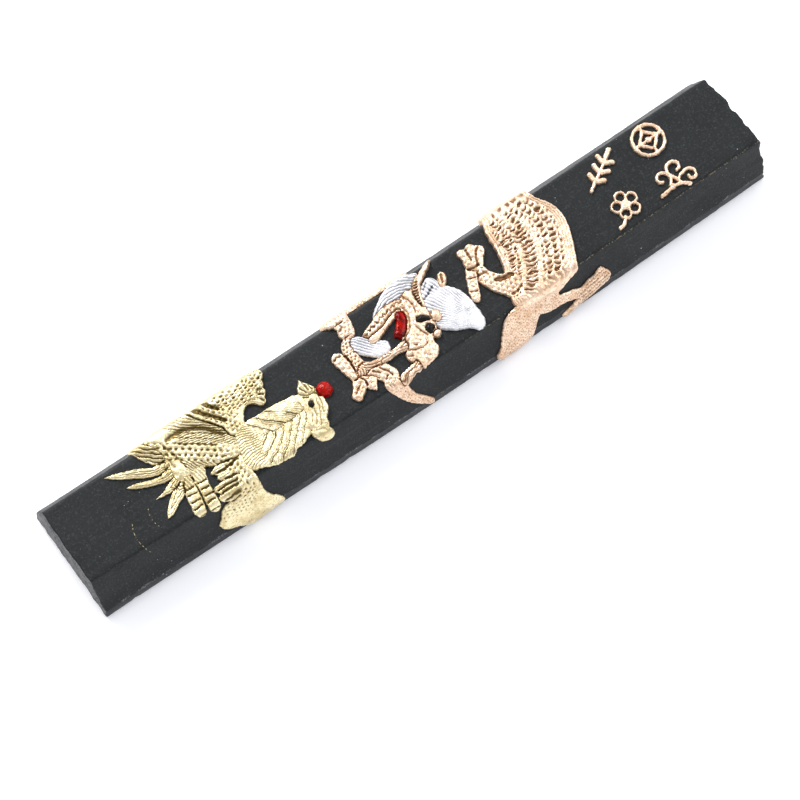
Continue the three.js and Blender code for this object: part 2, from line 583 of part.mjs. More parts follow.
    points: [[20.4, -8.6], [20.1, -10.2], [19.3, -11.2], [20.1, -11.8], [21.2, -12.2], [22.8, -12.3],
      [24.4, -12.6], [25.7, -13.1], [26.5, -13.5], [26.5, -13.5], [25.4, -13.9], [24.2, -14.6],
      [23.2, -15.3], [23.3, -16.1], [24.2, -16.4], [25.4, -15.9], [27.0, -15.1], [29.0, -14.5],
      [31.0, -14.1], [32.2, -13.8], [32.8, -13.1], [32.8, -12.2], [32.3, -11.3], [31.8, -10.6],
      [31.4, -10.1], [30.8, -10.4], [30.2, -10.9], [29.2, -11.1], [28.2, -11.4], [27.4, -11.8],
      [26.4, -11.3], [25.2, -10.8], [24.0, -10.5], [23.5, -10.0], [23.4, -9.0], [22.4, -8.2],
      [21.0, -7.9]],
  },
];

const PEARL = { x: -15.85, s: -1.1, radius: 1.25, height: 1.0, rings: 5, sectors: 20 };

// ---- Ornaments: generic raised line patterns, each about its own middle ----

// A line of that width along a smooth open curve, with round ends.
function stroke(points, width = STROKE_WIDTH) {
  const through = points.map(([x, s]) => new THREE.Vector3(x, s, 0));
  const curve = new THREE.CatmullRomCurve3(through, false, "centripetal");
  const count = Math.max(2, Math.ceil(curve.getLength() / OUTLINE_STEP));
  const sides = { left: [], right: [] };
  for (let i = 0; i <= count; i++) {
    const point = curve.getPointAt(i / count);
    const along = curve.getTangentAt(i / count);
    const aside = new THREE.Vector2(-along.y, along.x).multiplyScalar(width / 2);
    sides.left.push(new THREE.Vector2(point.x + aside.x, point.y + aside.y));
    sides.right.push(new THREE.Vector2(point.x - aside.x, point.y - aside.y));
  }
  const shape = new THREE.Shape([...sides.right, ...sides.left.reverse()]);
  const ends = [points[0], points[points.length - 1]].map(([x, s]) => disc(x, s, width / 2));
  return [shape, ...ends];
}

function disc(x, s, radius) {
  return new THREE.Shape().absarc(x, s, radius, 0, 2 * Math.PI);
}

function ring(x, s, radius, width = STROKE_WIDTH) {
  const shape = disc(x, s, radius + width / 2);
  shape.holes.push(disc(x, s, radius - width / 2));
  return shape;
}

// A sprig: a slanting stem with three pairs of leaves, and one leaf at its tip.
function leafSpray() {
  const leafLength = 1.45;
  const leaf = ([x, s], angle) =>
    stroke([[x, s], [x + leafLength * Math.cos(angle), s + leafLength * Math.sin(angle)]], 0.85);
  const joints = [[-1.5, -0.95], [0.0, -0.1], [1.4, 0.8]];
  const tip = [2.2, 1.4];
  const pairs = joints.flatMap((joint) => [...leaf(joint, 1.6), ...leaf(joint, -0.45)]);
  return [...stroke([[-3.0, -1.9], ...joints, tip]), ...pairs, ...leaf(tip, 0.55)];
}

// A round frame with a lozenge knot inside it.
function framedKnot() {
  const reach = 1.7;
  const tips = [[reach, 0], [0, reach], [-reach, 0], [0, -reach]];
  const sides = tips.flatMap((tip, i) => stroke([tip, tips[(i + 1) % 4]]));
  const ties = tips.flatMap(([x, s]) => stroke([[x, s], [x * 1.55, s * 1.55]]));
  return [ring(0, 0, 2.6), ...sides, ...ties, disc(0, 0, 0.55), ...stroke([[-1.6, 0], [1.6, 0]], 0.45)];
}

// A blossom of five petals on a short twig.
function blossom() {
  const petals = Array.from({ length: 5 }, (_, i) => {
    const angle = Math.PI / 2 + (i / 5) * 2 * Math.PI;
    return ring(1.45 * Math.cos(angle), 1.45 * Math.sin(angle), 0.85, 0.5);
  });
  return [...petals, disc(0, 0, 0.75), ...stroke([[-3.0, -2.6], [-2.0, -2.4], [-1.2, -1.6]])];
}

// A cloud of three joined spirals.
function cloudScroll() {
  const spiral = (x, s, size, hand, from) => {
    const turns = Array.from({ length: 9 }, (_, i) => {
      const angle = from + hand * i * 0.7;
      const radius = size * (1 - i / 11);
      return [x + radius * Math.cos(angle), s + radius * Math.sin(angle)];
    });
    return stroke(turns);
  };
  return [
    ...spiral(-1.9, 0.5, 1.6, 1, -1.2),
    ...spiral(1.0, 1.0, 1.7, -1, -2.2),
    ...spiral(2.3, -1.4, 1.3, -1, 2.2),
    ...stroke([[-3.6, -1.7], [-1.6, -1.5], [0.2, -1.6], [1.4, -2.5]]),
    ...stroke([[-1.3, -1.0], [-0.6, -1.5]]),
    ...stroke([[0.0, -0.4], [0.4, -1.6]]),
    ...stroke([[1.55, -0.35], [0.9, -0.5], [0.2, -1.0]]),
  ];
}

const ORNAMENTS = [
  { name: "ornament_leaf_spray", x: 39.8, s: 3.5, lines: leafSpray },
  { name: "ornament_framed_knot", x: 49.3, s: 3.4, lines: framedKnot },
  { name: "ornament_blossom", x: 39.9, s: -3.2, lines: blossom },
  { name: "ornament_cloud_scroll", x: 48.9, s: -3.7, lines: cloudScroll },
];

// ---- Assembly ----

const FINISHES = {
  ink: { color: 0x2b2d31, roughness: 0.62, metalness: 0.0 },
  gold_paint: { color: 0xd9c27a, roughness: 0.38, metalness: 0.85 },
  rose_gold_paint: { color: 0xdca983, roughness: 0.4, metalness: 0.8 },
  silver_paint: { color: 0xe9ebf0, roughness: 0.35, metalness: 0.5 },
  red_paint: { color: 0xc8170f, roughness: 0.2, metalness: 0.0 },
  black_paint: { color: 0x101010, roughness: 0.25, metalness: 0.0 },
};
const materials = Object.fromEntries(
  Object.entries(FINISHES).map(([name, look]) => [name, new THREE.MeshStandardMaterial({ name, ...look })]),
);

const inkStick = new THREE.Group();
inkStick.name = "ink_stick";

function addPiece(name, geometry, paint) {
  const mesh = new THREE.Mesh(geometry, materials[paint]);
  mesh.name = name;
  inkStick.add(mesh);
}

// The room that a relief takes, with the groove round it.
const room = (outline) => plate(new THREE.Shape(grown(outline, RELIEF_CLEARANCE)), -THICKNESS, THICKNESS);

// Cuts each relief of a figure by the ones listed before it, and lays what is left on the bar.
function addFigure(reliefs, taken = []) {
  const cutters = [...taken];
  for (const { name, paint, height, points } of reliefs) {
    const outline = smooth(points);
    let solid = plate(new THREE.Shape(outline), SEAT_GAP, height);
    for (const cutter of cutters) solid = solid.subtract(cutter);
    addPiece(name, onBar(largest(solid)), paint);
    cutters.push(room(outline));
  }
}

function addPearl() {
  const { x, s, radius, height, rings, sectors } = PEARL;
  const dome = Array.from({ length: rings + 1 }, (_, i) => {
    const angle = (i / rings) * (Math.PI / 2);
    const across = i === rings ? 0 : radius * Math.cos(angle);
    return new THREE.Vector2(across, SEAT_GAP + (height - SEAT_GAP) * Math.sin(angle));
  });
  const turned = new THREE.LatheGeometry([new THREE.Vector2(0, SEAT_GAP), ...dome], sectors);
  turned.rotateX(Math.PI / 2).translate((x * LENGTH) / DRAWN.length, acrossSkin(s), 0);
  addPiece("red_pearl", onBar(toSolid(turned)), "red_paint");
}

function addOrnaments() {
  for (const { name, x, s, lines } of ORNAMENTS) {
    const plates = lines().map((shape) => plate(shape, SEAT_GAP, ORNAMENT_HEIGHT));
    const joined = plates.reduce((a, b) => a.add(b));
    const placed = joined.translate((x * LENGTH) / DRAWN.length, acrossSkin(s), 0);
    addPiece(name, onBar(placed), "rose_gold_paint");
  }
}

addPiece("ink_bar", inkBar(), "ink");
addPearl();
addFigure(PHOENIX, [room(smooth(ellipse(PEARL.x, PEARL.s, PEARL.radius, PEARL.radius, 0, 24)))]);
addFigure(DRAGON);
addOrnaments();

export default inkStick;
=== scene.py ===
"""The looks of the ink stick: a worn bar of black ink with a gilt phoenix, a dragon and ornaments.

Each CAD relief is a plain plate. Here its outline is read from the frame, and the plate is replaced by a
closed mesh with the feathers, scales, hair and folds of that part of the figure. All shapes are made on the
bar's skin laid flat, in millimetres: x runs along the bar, s across it from the middle of the face, and h is
the height above the skin. SKIN carries them onto the bar.
"""

import json
import math

import bpy
import numpy as np
from mathutils import Matrix, Vector
from mathutils.geometry import delaunay_2d_cdt


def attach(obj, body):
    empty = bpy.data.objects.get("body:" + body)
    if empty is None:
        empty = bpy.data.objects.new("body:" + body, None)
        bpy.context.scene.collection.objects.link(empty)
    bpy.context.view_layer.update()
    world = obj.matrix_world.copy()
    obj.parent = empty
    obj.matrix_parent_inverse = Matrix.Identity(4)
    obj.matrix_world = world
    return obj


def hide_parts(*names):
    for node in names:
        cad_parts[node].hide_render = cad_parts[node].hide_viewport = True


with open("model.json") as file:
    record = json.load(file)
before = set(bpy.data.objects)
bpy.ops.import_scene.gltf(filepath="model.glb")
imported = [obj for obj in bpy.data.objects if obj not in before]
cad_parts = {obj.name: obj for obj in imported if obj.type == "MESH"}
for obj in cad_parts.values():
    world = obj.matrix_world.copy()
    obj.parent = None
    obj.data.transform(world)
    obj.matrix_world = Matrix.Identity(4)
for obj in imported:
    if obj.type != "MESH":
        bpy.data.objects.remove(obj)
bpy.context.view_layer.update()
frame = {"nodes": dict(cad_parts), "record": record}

MM = 0.001
GAP = 0.036  # the gap between neighbouring CAD reliefs, with a little more
SINK = 0.06  # how far the underside of a relief lies inside the bar
PITCH = 0.112  # spacing of the points on a relief
RIM = 0.05  # height of a relief at its open edge
CORNER_REACH = 0.45  # how far the wear reaches from each corner of the bar's section
LEAST_SIDE = 0.14  # shorter sides of a CAD outline are dropped before it is smoothed
LEAST_POINTS = 6  # a loop with fewer points is a speck, not an outline
PROBE = 0.1  # how far beyond an outline its neighbour is looked for
EDGE_CLEARANCE = 0.45  # how far a point inside a relief keeps from its outline, as a share of PITCH


# ---- The CAD model's meshes, and the bar's skin ----


def welded(node):
    """A CAD node's points in millimetres and its triangles, with shared corners merged."""
    mesh = frame["nodes"][node].data
    mesh.calc_loop_triangles()
    corners = np.zeros(len(mesh.loop_triangles) * 3, np.int32)
    mesh.loop_triangles.foreach_get("vertices", corners)
    points = np.zeros(len(mesh.vertices) * 3)
    mesh.vertices.foreach_get("co", points)
    points, index = np.unique(np.round(points.reshape(-1, 3) / MM, 3), axis=0, return_inverse=True)
    return points, index.reshape(-1)[corners].reshape(-1, 3)


def cut_corners(line, rounds=3):
    """Chaikin's rule: an open line with its corners cut, which leaves its long sides straight."""
    for _ in range(rounds):
        a, b = line[:-1], line[1:]
        cut = np.stack([0.75 * a + 0.25 * b, 0.25 * a + 0.75 * b], 1).reshape(-1, 2)
        line = np.vstack([line[:1], cut, line[-1:]])
    return line


def with_corner_points(line, reach):
    """Adds points near both ends of each long side, so that cutting corners only changes the corners."""
    points = [line[0]]
    for a, b in zip(line[:-1], line[1:]):
        length = np.linalg.norm(b - a)
        if length > 2.5 * reach:
            points += [a + (b - a) * reach / length, b - (b - a) * reach / length]
        points.append(b)
    return np.array(points)


class Skin:
    """The surface of the bar, measured from its CAD node."""

    def __init__(self, points):
        self.half_length = -points[:, 0].min()
        stations = {}
        for x in np.unique(np.round(points[:, 0], 2)):
            ring = points[np.abs(points[:, 0] - x) < 0.006]
            if len(ring) > 12 and abs(x) < self.half_length - 0.1:
                stations[x] = ring
        middle = np.array([self.middle(x) for x in stations])
        centre = [(r[:, 1].max() + r[:, 1].min()) / 2 for r in stations.values()]
        half_width = [(r[:, 1].max() - r[:, 1].min()) / 2 for r in stations.values()]
        self.bend = np.polyfit(middle, centre, 1)[0]
        slope, self.half_width = np.polyfit(middle, half_width, 1)
        self.swell = slope / self.half_width
        first = min(stations)
        self.section(self.straightened(stations[first]))
        self.measure_end(points)

    def middle(self, x):
        """1 in the middle of the bar and 0 at its ends."""
        return 1 - np.minimum(1, np.abs(x) / self.half_length) ** 2

    def straightened(self, points):
        middle = self.middle(points[:, 0])
        y = (points[:, 1] - self.bend * middle) / (1 + self.swell * middle)
        return np.stack([y, points[:, 2]], 1)

    def section(self, ring):
        """The half-worn outline of the section, from the middle of the back, over the face and round."""
        self.thickness = ring[:, 1].max()
        angle = np.arctan2(ring[:, 0], ring[:, 1] - self.thickness / 2)
        back = np.array([[0.0, 0.0]])
        line = np.vstack([back, ring[np.argsort(angle)], back])
        line = cut_corners(with_corner_points(line, CORNER_REACH))
        travelled = np.concatenate([[0], np.cumsum(np.linalg.norm(np.diff(line, axis=0), axis=1))])
        even = np.linspace(0, travelled[-1], 640)
        self.y = np.interp(even, travelled, line[:, 0])
        self.z = np.interp(even, travelled, line[:, 1])
        tangent = np.stack([np.gradient(self.y, even), np.gradient(self.z, even)], 1)
        tangent /= np.linalg.norm(tangent, axis=1)[:, None]
        self.ny, self.nz = -tangent[:, 1], tangent[:, 0]
        self.s = even - travelled[-1] / 2

    def measure_end(self, points):
        """The swelling of the rough end at +X: its tip, where that is across the bar, how fast it falls."""
        tip = points[points[:, 0].argmax()]
        side = points[(points[:, 0] > 0.9 * self.half_length) & (points[:, 1] > 0.7 * self.half_width)]
        side = side[side[:, 0].argmax()]
        self.end_tip, self.end_middle = tip[0], tip[1]
        self.end_fall = (tip[0] - side[0]) / (side[1] - tip[1]) ** 2

    def end_at(self, y):
        return self.end_tip - self.end_fall * (y - self.end_middle) ** 2

    def place(self, x, s, h):
        """Points on the bar, in millimetres."""
        y = np.interp(s, self.s, self.y) + h * np.interp(s, self.s, self.ny)
        z = np.interp(s, self.s, self.z) + h * np.interp(s, self.s, self.nz)
        middle = self.middle(x)
        return np.stack([x, y * (1 + self.swell * middle) + self.bend * middle, z], 1)

    def lay_flat(self, points):
        """The x, s and h of points near the skin."""
        y, z = self.straightened(points).T
        nearest = ((y[:, None] - self.y) ** 2 + (z[:, None] - self.z) ** 2).argmin(1)
        dy, dz = y - self.y[nearest], z - self.z[nearest]
        ny, nz = self.ny[nearest], self.nz[nearest]
        return np.stack([points[:, 0], self.s[nearest] + dy * nz - dz * ny, dy * ny + dz * nz], 1)


SKIN = Skin(welded("ink_bar")[0])


# ---- Plane geometry ----


def noise(x, s, size, seed):
    """Smooth noise from -1 to 1, about size millimetres from crest to crest."""
    rng = np.random.default_rng(seed)
    total = 0.0
    for angle in np.arange(6) * math.pi / 6 + rng.uniform(0, 0.5, 6):
        wave = 2 * math.pi / (size * rng.uniform(0.75, 1.3))
        total = total + np.sin(wave * (x * math.cos(angle) + s * math.sin(angle)) + rng.uniform(0, 6.28))
    return total / 3.5


def distance(points, starts, ends):
    """From each point to the nearest of the segments."""
    best = np.full(len(points), 99.0)
    if not len(starts):
        return best
    side = ends - starts
    square = np.maximum((side**2).sum(1), 1e-9)
    for first in range(0, len(points), 2000):
        away = points[first : first + 2000, None, :] - starts
        share = np.clip((away * side).sum(2) / square, 0, 1)
        gap = away - share[:, :, None] * side
        best[first : first + 2000] = np.sqrt((gap**2).sum(2).min(1))
    return best


def inside(points, loops):
    """Whether each point is inside the loops, holes left out."""
    crossings = np.zeros(len(points), int)
    x, s = points[:, :1], points[:, 1:]
    for loop in loops:
        a, b = loop, np.roll(loop, -1, 0)
        spans = (a[:, 1] > s) != (b[:, 1] > s)
        rise = np.where(a[:, 1] == b[:, 1], 1, b[:, 1] - a[:, 1])
        crossings += (spans & (x < a[:, 0] + (s - a[:, 1]) * (b[:, 0] - a[:, 0]) / rise)).sum(1)
    return crossings % 2 == 1


def refined(loop):
    """Halves each side, on a smooth curve through the points unless a corner is near."""
    before, after, beyond = np.roll(loop, 1, 0), np.roll(loop, -1, 0), np.roll(loop, -2, 0)
    into, out = loop - before, after - loop
    cross = into[:, 0] * out[:, 1] - into[:, 1] * out[:, 0]
    turn = np.abs(np.arctan2(cross, (into * out).sum(1)))
    smooth = (turn < 0.7) & (np.roll(turn, -1) < 0.7)
    straight = (loop + after) / 2
    curved = (9 * (loop + after) - before - beyond) / 16
    halves = np.where(smooth[:, None], curved, straight)
    return np.stack([loop, halves], 1).reshape(-1, 2)


def thinned(loop, least):
    kept = [loop[0]]
    for point in loop[1:]:
        if np.linalg.norm(point - kept[-1]) >= least:
            kept.append(point)
    return np.array(kept)


def turns_left(a, b, c):
    return (b[:, 0] - a[:, 0]) * (c[:, 1] - a[:, 1]) > (b[:, 1] - a[:, 1]) * (c[:, 0] - a[:, 0])


def untangled(loop):
    """Cuts off the small knots where a line crosses itself, and those that the cuts leave."""
    for span in (*range(2, 9), *range(2, 9)):
        a, b, c, d = (np.roll(loop, -shift, 0) for shift in (0, 1, span, span + 1))
        crosses = (turns_left(a, b, c) != turns_left(a, b, d)) & (turns_left(c, d, a) != turns_left(c, d, b))
        knots = np.flatnonzero(crosses)[:, None] + 1 + np.arange(span)
        loop = np.delete(loop, np.unique(knots % len(loop)), 0)
    return loop


def chained(edges):
    """Directed edges joined up into loops."""
    follows = {}
    for a, b in edges:
        follows.setdefault(a, []).append(b)
    loops = []
    while follows:
        start = here = next(iter(follows))
        loop = []
        while here in follows:
            loop.append(here)
            ends = follows[here]
            after = ends.pop()
            if not ends:
                del follows[here]
            here = after
            if here == start:
                break
        loops.append(loop)
    return loops


def sideways(along, length):
    """Vectors of one length, at right angles to the given ones."""
    aside = np.stack([along[:, 1], -along[:, 0]], 1)
    return aside * (length / np.maximum(np.linalg.norm(aside, axis=1), 1e-9))[:, None]


def rim_edges(triangles):
    """The directed edges that only one triangle has."""
    edges = {(int(t[k]), int(t[(k + 1) % 3])) for t in triangles for k in range(3)}
    return [(a, b) for a, b in edges if (b, a) not in edges]


# ---- One relief ----


class Relief:
    """The outline of a CAD relief on the flat skin, and which of its sides meet other reliefs."""

    def __init__(self, node):
        self.node = node
        points, triangles = welded(node)
        flat = SKIN.lay_flat(points)
        a, b, c = (flat[triangles[:, k]] for k in range(3))
        normal = np.cross(b - a, c - a)
        underside = normal[:, 2] < -0.6 * np.linalg.norm(normal, axis=1)
        self.height = flat[:, 2].max() - 0.01
        loops = [flat[loop, :2] for loop in chained(rim_edges(triangles[underside]))]
        loops = [thinned(loop, LEAST_SIDE) for loop in loops if len(loop) >= LEAST_POINTS]
        self.loops = [refined(refined(loop)) for loop in loops if len(loop) >= LEAST_POINTS]
        self.low = np.min([loop.min(0) for loop in self.loops], 0)
        self.high = np.max([loop.max(0) for loop in self.loops], 0)
        self.starts = np.vstack(self.loops)
        self.ends = np.vstack([np.roll(loop, -1, 0) for loop in self.loops])

    def near(self, other, reach=1.5):
        return (self.low < other.high + reach).all() and (other.low < self.high + reach).all()

    def find_neighbours(self, reliefs):
        """Marks each side of the outline with the relief that it meets, or None where it is open."""
        self.neighbours = [r for r in reliefs if r is not self and self.near(r)]
        middle = (self.starts + self.ends) / 2
        along = self.ends - self.starts
        aside = sideways(along, PROBE)
        outside = np.where(inside(middle + aside, self.loops)[:, None], middle - aside, middle + aside)
        self.meets = np.full(len(middle), None, object)
        for other in self.neighbours:
            self.meets[inside(outside, other.loops)] = other.node
        self.open = self.meets == None  # noqa: E711, an element-wise test

    def close_gaps(self):
        """Grows the outline half a gap towards each relief that it meets."""
        grown, first = [], 0
        for loop in self.loops:
            meeting = ~self.open[first : first + len(loop)]
            meeting = meeting | np.roll(meeting, 1)
            along = np.roll(loop, -1, 0) - np.roll(loop, 1, 0)
            aside = sideways(along, GAP / 2)
            aside[inside(loop + aside, self.loops)] *= -1
            grown.append(untangled(loop + aside * meeting[:, None]))
            first += len(loop)
        self.outlines = grown

    def open_sides(self):
        """The open sides of this relief and of those around it."""
        group = [self, *self.neighbours]
        return np.vstack([r.starts[r.open] for r in group]), np.vstack([r.ends[r.open] for r in group])

    def lattice(self, pitch):
        """Evenly spaced points inside the outline, a little away from it."""
        rows = np.arange(self.low[1], self.high[1], pitch * math.sqrt(0.75))
        columns = np.arange(self.low[0], self.high[0], pitch)
        x, s = np.meshgrid(columns, rows)
        x = x + pitch / 2 * (np.arange(len(rows)) % 2)[:, None]
        points = np.stack([x.ravel(), s.ravel()], 1)
        points = points[inside(points, self.loops)]
        return points[distance(points, self.starts, self.ends) > EDGE_CLEARANCE * pitch]


def triangulated(outline, sides, fill=()):
    """Triangles over an outline, with the fill's points used inside it: their points, corners and ids."""
    points = [Vector(p) for p in (*outline, *fill)]
    found, _, triangles, ids, _, _ = delaunay_2d_cdt(points, sides, [], 0, 1e-6)
    return np.array([tuple(p) for p in found]), np.array(triangles), ids


def ragged(x, s):
    """Points shifted a little, all reliefs alike, so that outlines look brushed and pressed by hand."""
    for amount, size, seed in ((0.05, 1.1, 1), (0.035, 0.42, 3)):
        x, s = x + amount * noise(x, s, size, seed), s + amount * noise(x, s, size, seed + 1)
    return x, s


def relief_mesh(relief, shape):
    """The closed mesh of a relief, with how hollow the surface is at each point as an attribute, which
    darkens its paint as painted shade.
    """
    sides, first = [], 0
    for loop in relief.outlines:
        count = len(loop)
        sides += [(first + i, first + (i + 1) % count) for i in range(count)]
        first += count
    flat, triangles, _ = triangulated(np.vstack(relief.outlines), sides, relief.lattice(PITCH))
    triangles = triangles[inside(flat[triangles].mean(1), relief.outlines)]
    height, hollow = shape(relief, flat)
    rim = rim_edges(triangles)
    used = sorted({i for edge in rim for i in edge})
    order = {i: k for k, i in enumerate(used)}
    base, floor, ids = triangulated(flat[used], [(order[a], order[b]) for a, b in rim])
    floor = floor[inside(base[floor].mean(1), [flat[loop] for loop in chained(rim)])]
    under = {ids[k][0]: k for k in range(len(ids))}
    x, s = ragged(*flat.T)
    below = np.array([used[sources[0]] for sources in ids])
    top = SKIN.place(x, s, height)
    bottom = SKIN.place(x[below], s[below], -SINK)
    count = len(flat)
    faces = [tuple(t) for t in triangles]
    faces += [tuple(count + i for i in reversed(t)) for t in floor]
    for a, b in rim:
        low_a, low_b = count + under[order[a]], count + under[order[b]]
        faces.append((low_a, low_b, b, a))
    smooth = [True] * len(triangles) + [False] * (len(faces) - len(triangles))
    # Every point of the underside counts as fully hollow, so the foot of each wall gets the full painted
    # shade.
    values = np.concatenate([hollow, np.ones(len(bottom))])
    return build_mesh(relief.node + "_relief", np.vstack([top, bottom]), faces, smooth, {"hollow": values})


def add_object(name, data):
    thing = bpy.data.objects.new(name, data)
    bpy.context.scene.collection.objects.link(thing)
    return thing


def build_mesh(name, points, faces, smooth, attributes):
    """An object from points in millimetres, with unused points left out."""
    used = np.unique(np.concatenate([np.asarray(f) for f in faces]))
    order = np.full(len(points), -1)
    order[used] = np.arange(len(used))
    mesh = bpy.data.meshes.new(name)
    mesh.from_pydata((points[used] * MM).tolist(), [], [tuple(order[list(f)].tolist()) for f in faces])
    mesh.polygons.foreach_set("use_smooth", smooth)
    for key, values in attributes.items():
        layer = mesh.attributes.new(key, "FLOAT", "POINT")
        layer.data.foreach_set("value", np.asarray(values, np.float32)[used])
    mesh.update()
    return add_object(name, mesh)


# ---- Patterns: each gives 0 on the surface and down to -1 in its hollows ----


def grooves(t, pitch):
    """Narrow grooves between broad ridges, one every pitch."""
    return -((0.5 - 0.5 * np.cos(2 * math.pi * t / pitch)) ** 1.6)


def turned(x, s, degrees):
    """Coordinates along and across a direction."""
    angle = math.radians(degrees)
    return x * math.cos(angle) + s * math.sin(angle), s * math.cos(angle) - x * math.sin(angle)


def unsteady(x, s, amount, size, seed):
    """Coordinates shifted a little, so that a pattern looks cut by hand."""
    return x + amount * noise(x, s, size, seed), s + amount * noise(x, s, size, seed + 50)


def pits(x, s, pitch, size, degrees=0):
    """Staggered rows of oval pits."""
    along, across = turned(*unsteady(x, s, 0.1, 1.6, 61), degrees)
    row = np.round(across / pitch[1])
    column = along / pitch[0] - 0.5 * (row % 2)
    du, dv = (column - np.round(column)) * pitch[0], across - row * pitch[1]
    return -np.exp(-((du / size[0]) ** 2) - (dv / size[1]) ** 2)


def crescents(u, v, pitch, size, curl):
    """Columns of curved gaps between overlapping scales, each gap long along u."""
    column = np.round(u / pitch[0])
    du = u - column * pitch[0]
    row = v / pitch[1] - 0.5 * (column % 2) + curl * (du / pitch[0]) ** 2
    dv = (row - np.round(row)) * pitch[1]
    return -np.exp(-((du / size[0]) ** 4) - (dv / size[1]) ** 2)


def bell(t, middle, width):
    """1 at the middle, falling to 0 on both sides."""
    return np.exp(-(((t - middle) / width) ** 2))


def crease(x, s, points, width):
    """A groove along a line of points."""
    line = np.array(points, float)
    return -bell(distance(np.stack([x, s], 1), line[:-1], line[1:]), 0, width)


def creases(x, s, width, lines):
    return np.min([crease(x, s, points, width) for points in lines], 0)


def step(t, start, end):
    """0 before start and 1 after end, smoothly."""
    t = np.clip((t - start) / (end - start), 0, 1)
    return t * t * (3 - 2 * t)


def fall(t, start, end):
    """1 before start and 0 after end, smoothly."""
    return 1 - step(t, start, end)


def between(t, start, end, soft=0.25):
    return step(t, start - soft, start + soft) * fall(t, end - soft, end + soft)


def dome(distance_in, radius):
    """The rise of a rounded edge: 0 at the edge and 1 from radius on."""
    return np.sqrt(np.maximum(0, 1 - (1 - np.minimum(distance_in / radius, 1)) ** 2))


# ---- Details of the phoenix ----
# Each takes x, s and the distance from the nearest open edge.


def plume(x, s, edge):
    return 0.24 * grooves(edge + 0.03 * noise(x, s, 1.5, 9) - 0.02, 0.37) * step(edge, 0.08, 0.2)


def tail_root(x, s, edge):
    """Strands that run down to the root of the tail."""
    x, s = unsteady(x, s, 0.08, 2.0, 12)
    return 0.3 * grooves(turned(x, s, -40)[1] + 0.1, 0.62) + 0.1 * grooves(turned(x, s, -40)[1], 0.31)


def phoenix_body(x, s, edge):
    """Feather bands that run down from the tail: barbs above, pits in the middle, a fringe below."""
    x, s = unsteady(x, s, 0.08, 2.2, 13)
    along, across = turned(x, s, -36)
    barbs = grooves(s + 0.22 * x, 0.37) * between(across, -19.7, -17.9, 0.12) * step(along, -34.4, -33.8)
    shafts = -bell(across, -19.75, 0.13) - 0.8 * bell(across, -18.8, 0.1)
    shafts = shafts * between(along, -34.6, -28.2)
    middle = pits(x, s, (0.95, 0.86), (0.29, 0.23), -36)
    middle = middle * between(across, -22.5, -19.8) * fall(x, -35, -33)
    chest = pits(x, s, (0.8, 0.7), (0.22, 0.18), -20)
    chest = chest * step(x, -35.4, -34.2) * fall(across, -20.4, -19.8)
    fringe = grooves(x + 0.6 * s, 0.42) * between(across, -24.0, -22.5, 0.15) * between(x, -40.4, -35.8)
    hollow = crease(x, s, [(-40.2, 5.4), (-37.6, 5.5), (-35.5, 4.7), (-34, 3.3), (-32.8, 1.6)], 0.42)
    hatch = grooves(turned(x, s, 55)[0], 0.42) * step(across, -18.2, -17.8)
    root = creases(x, s, 0.22, [
        [(-42.6, 5.4), (-41.9, 3.2), (-41.6, 1.2)],
        [(-41.2, 5.0), (-40.5, 2.4), (-40.3, 0.4)],
    ])
    feathers = 0.24 * barbs + 0.22 * shafts + 0.34 * middle + 0.2 * chest + 0.26 * fringe
    return feathers + 0.3 * hollow + 0.24 * hatch + 0.2 * root


def raised_wing(x, s, edge):
    """Two bone ridges, then rows of small crescent feathers, with long streaks along the hollow edge."""
    bones = creases(x, s, 0.33, [
        [(-36.9, 6.9), (-34.9, 5.3), (-33.4, 3.8), (-32.3, 2.1)],
        [(-34.3, 7.0), (-32.3, 4.7), (-31.2, 3.2)],
        [(-32.6, 7.2), (-31.0, 5.3)],
    ])
    x, s = unsteady(x, s, 0.12, 1.5, 14)
    upper = step(s, 3.2, 3.8) * step(x + 0.7 * s, -27.4, -26.6)
    rows = crescents(x, s, (0.8, 0.56), (0.34, 0.14), -0.7) * upper * (0.75 + 0.35 * noise(x, s, 1.3, 22))
    rim = fall(edge, 0.7, 1.0) * step(x, -30.4, -29.4)
    lower = pits(x, s, (0.8, 0.68), (0.25, 0.17), -50)
    lower = lower * (1 - upper) * (1 - rim) * step(x + 0.6 * s, -30.9, -30.3)
    streaks = grooves(edge, 0.36) * rim * fall(x, -25.5, -25) * fall(s, 4.2, 4.8)
    fan = grooves(np.arctan2(s - 5.4, x + 27.0), 0.24) * step(x, -25.2, -24.6) * fall(s, 4.2, 4.8)
    return 0.4 * bones + 0.36 * rows + 0.28 * lower + 0.16 * streaks + 0.28 * fan


def neck(x, s, edge):
    """Long overlapping feathers swept back on both sides of a line along the neck, each of finer barbs."""
    x, s = unsteady(x, s, 0.09, 2.2, 15)
    middle = np.interp(x, [-31, -29.3, -26, -20.4], [-1.2, -1.6, -2.6, -2.3])
    off = s - middle
    above = step(off, -0.1, 0.1)
    swept = x + np.where(off > 0, 1.0, 0.85) * np.abs(off) + 0.05 * off**2
    width = 2.35 * above + 1.5 * (1 - above)
    share = swept / width - np.floor(swept / width)
    feathers = -(share**3) * fall(share, 0.93, 1.0)
    barbs = grooves(swept, width / np.where(off > 0, 5, 4)) * (0.8 + 0.4 * noise(x, s, 1.3, 25))
    spine = crease(x, s, [(-27.4, -2.2), (-26, -2.6), (-23, -2.4), (-20.4, -2.3)], 0.1)
    fan = grooves(off + 0.1 * (x + 31) * off, 0.44)
    loose = 1 - step(x + 0.4 * np.abs(off), -29.0, -27.4)
    calm = 1 - 0.7 * step(s, -1.4, -0.6) * step(x, -25, -23.5)
    return (1 - loose) * calm * (0.22 * feathers + 0.16 * barbs) + 0.1 * spine + 0.19 * fan * loose


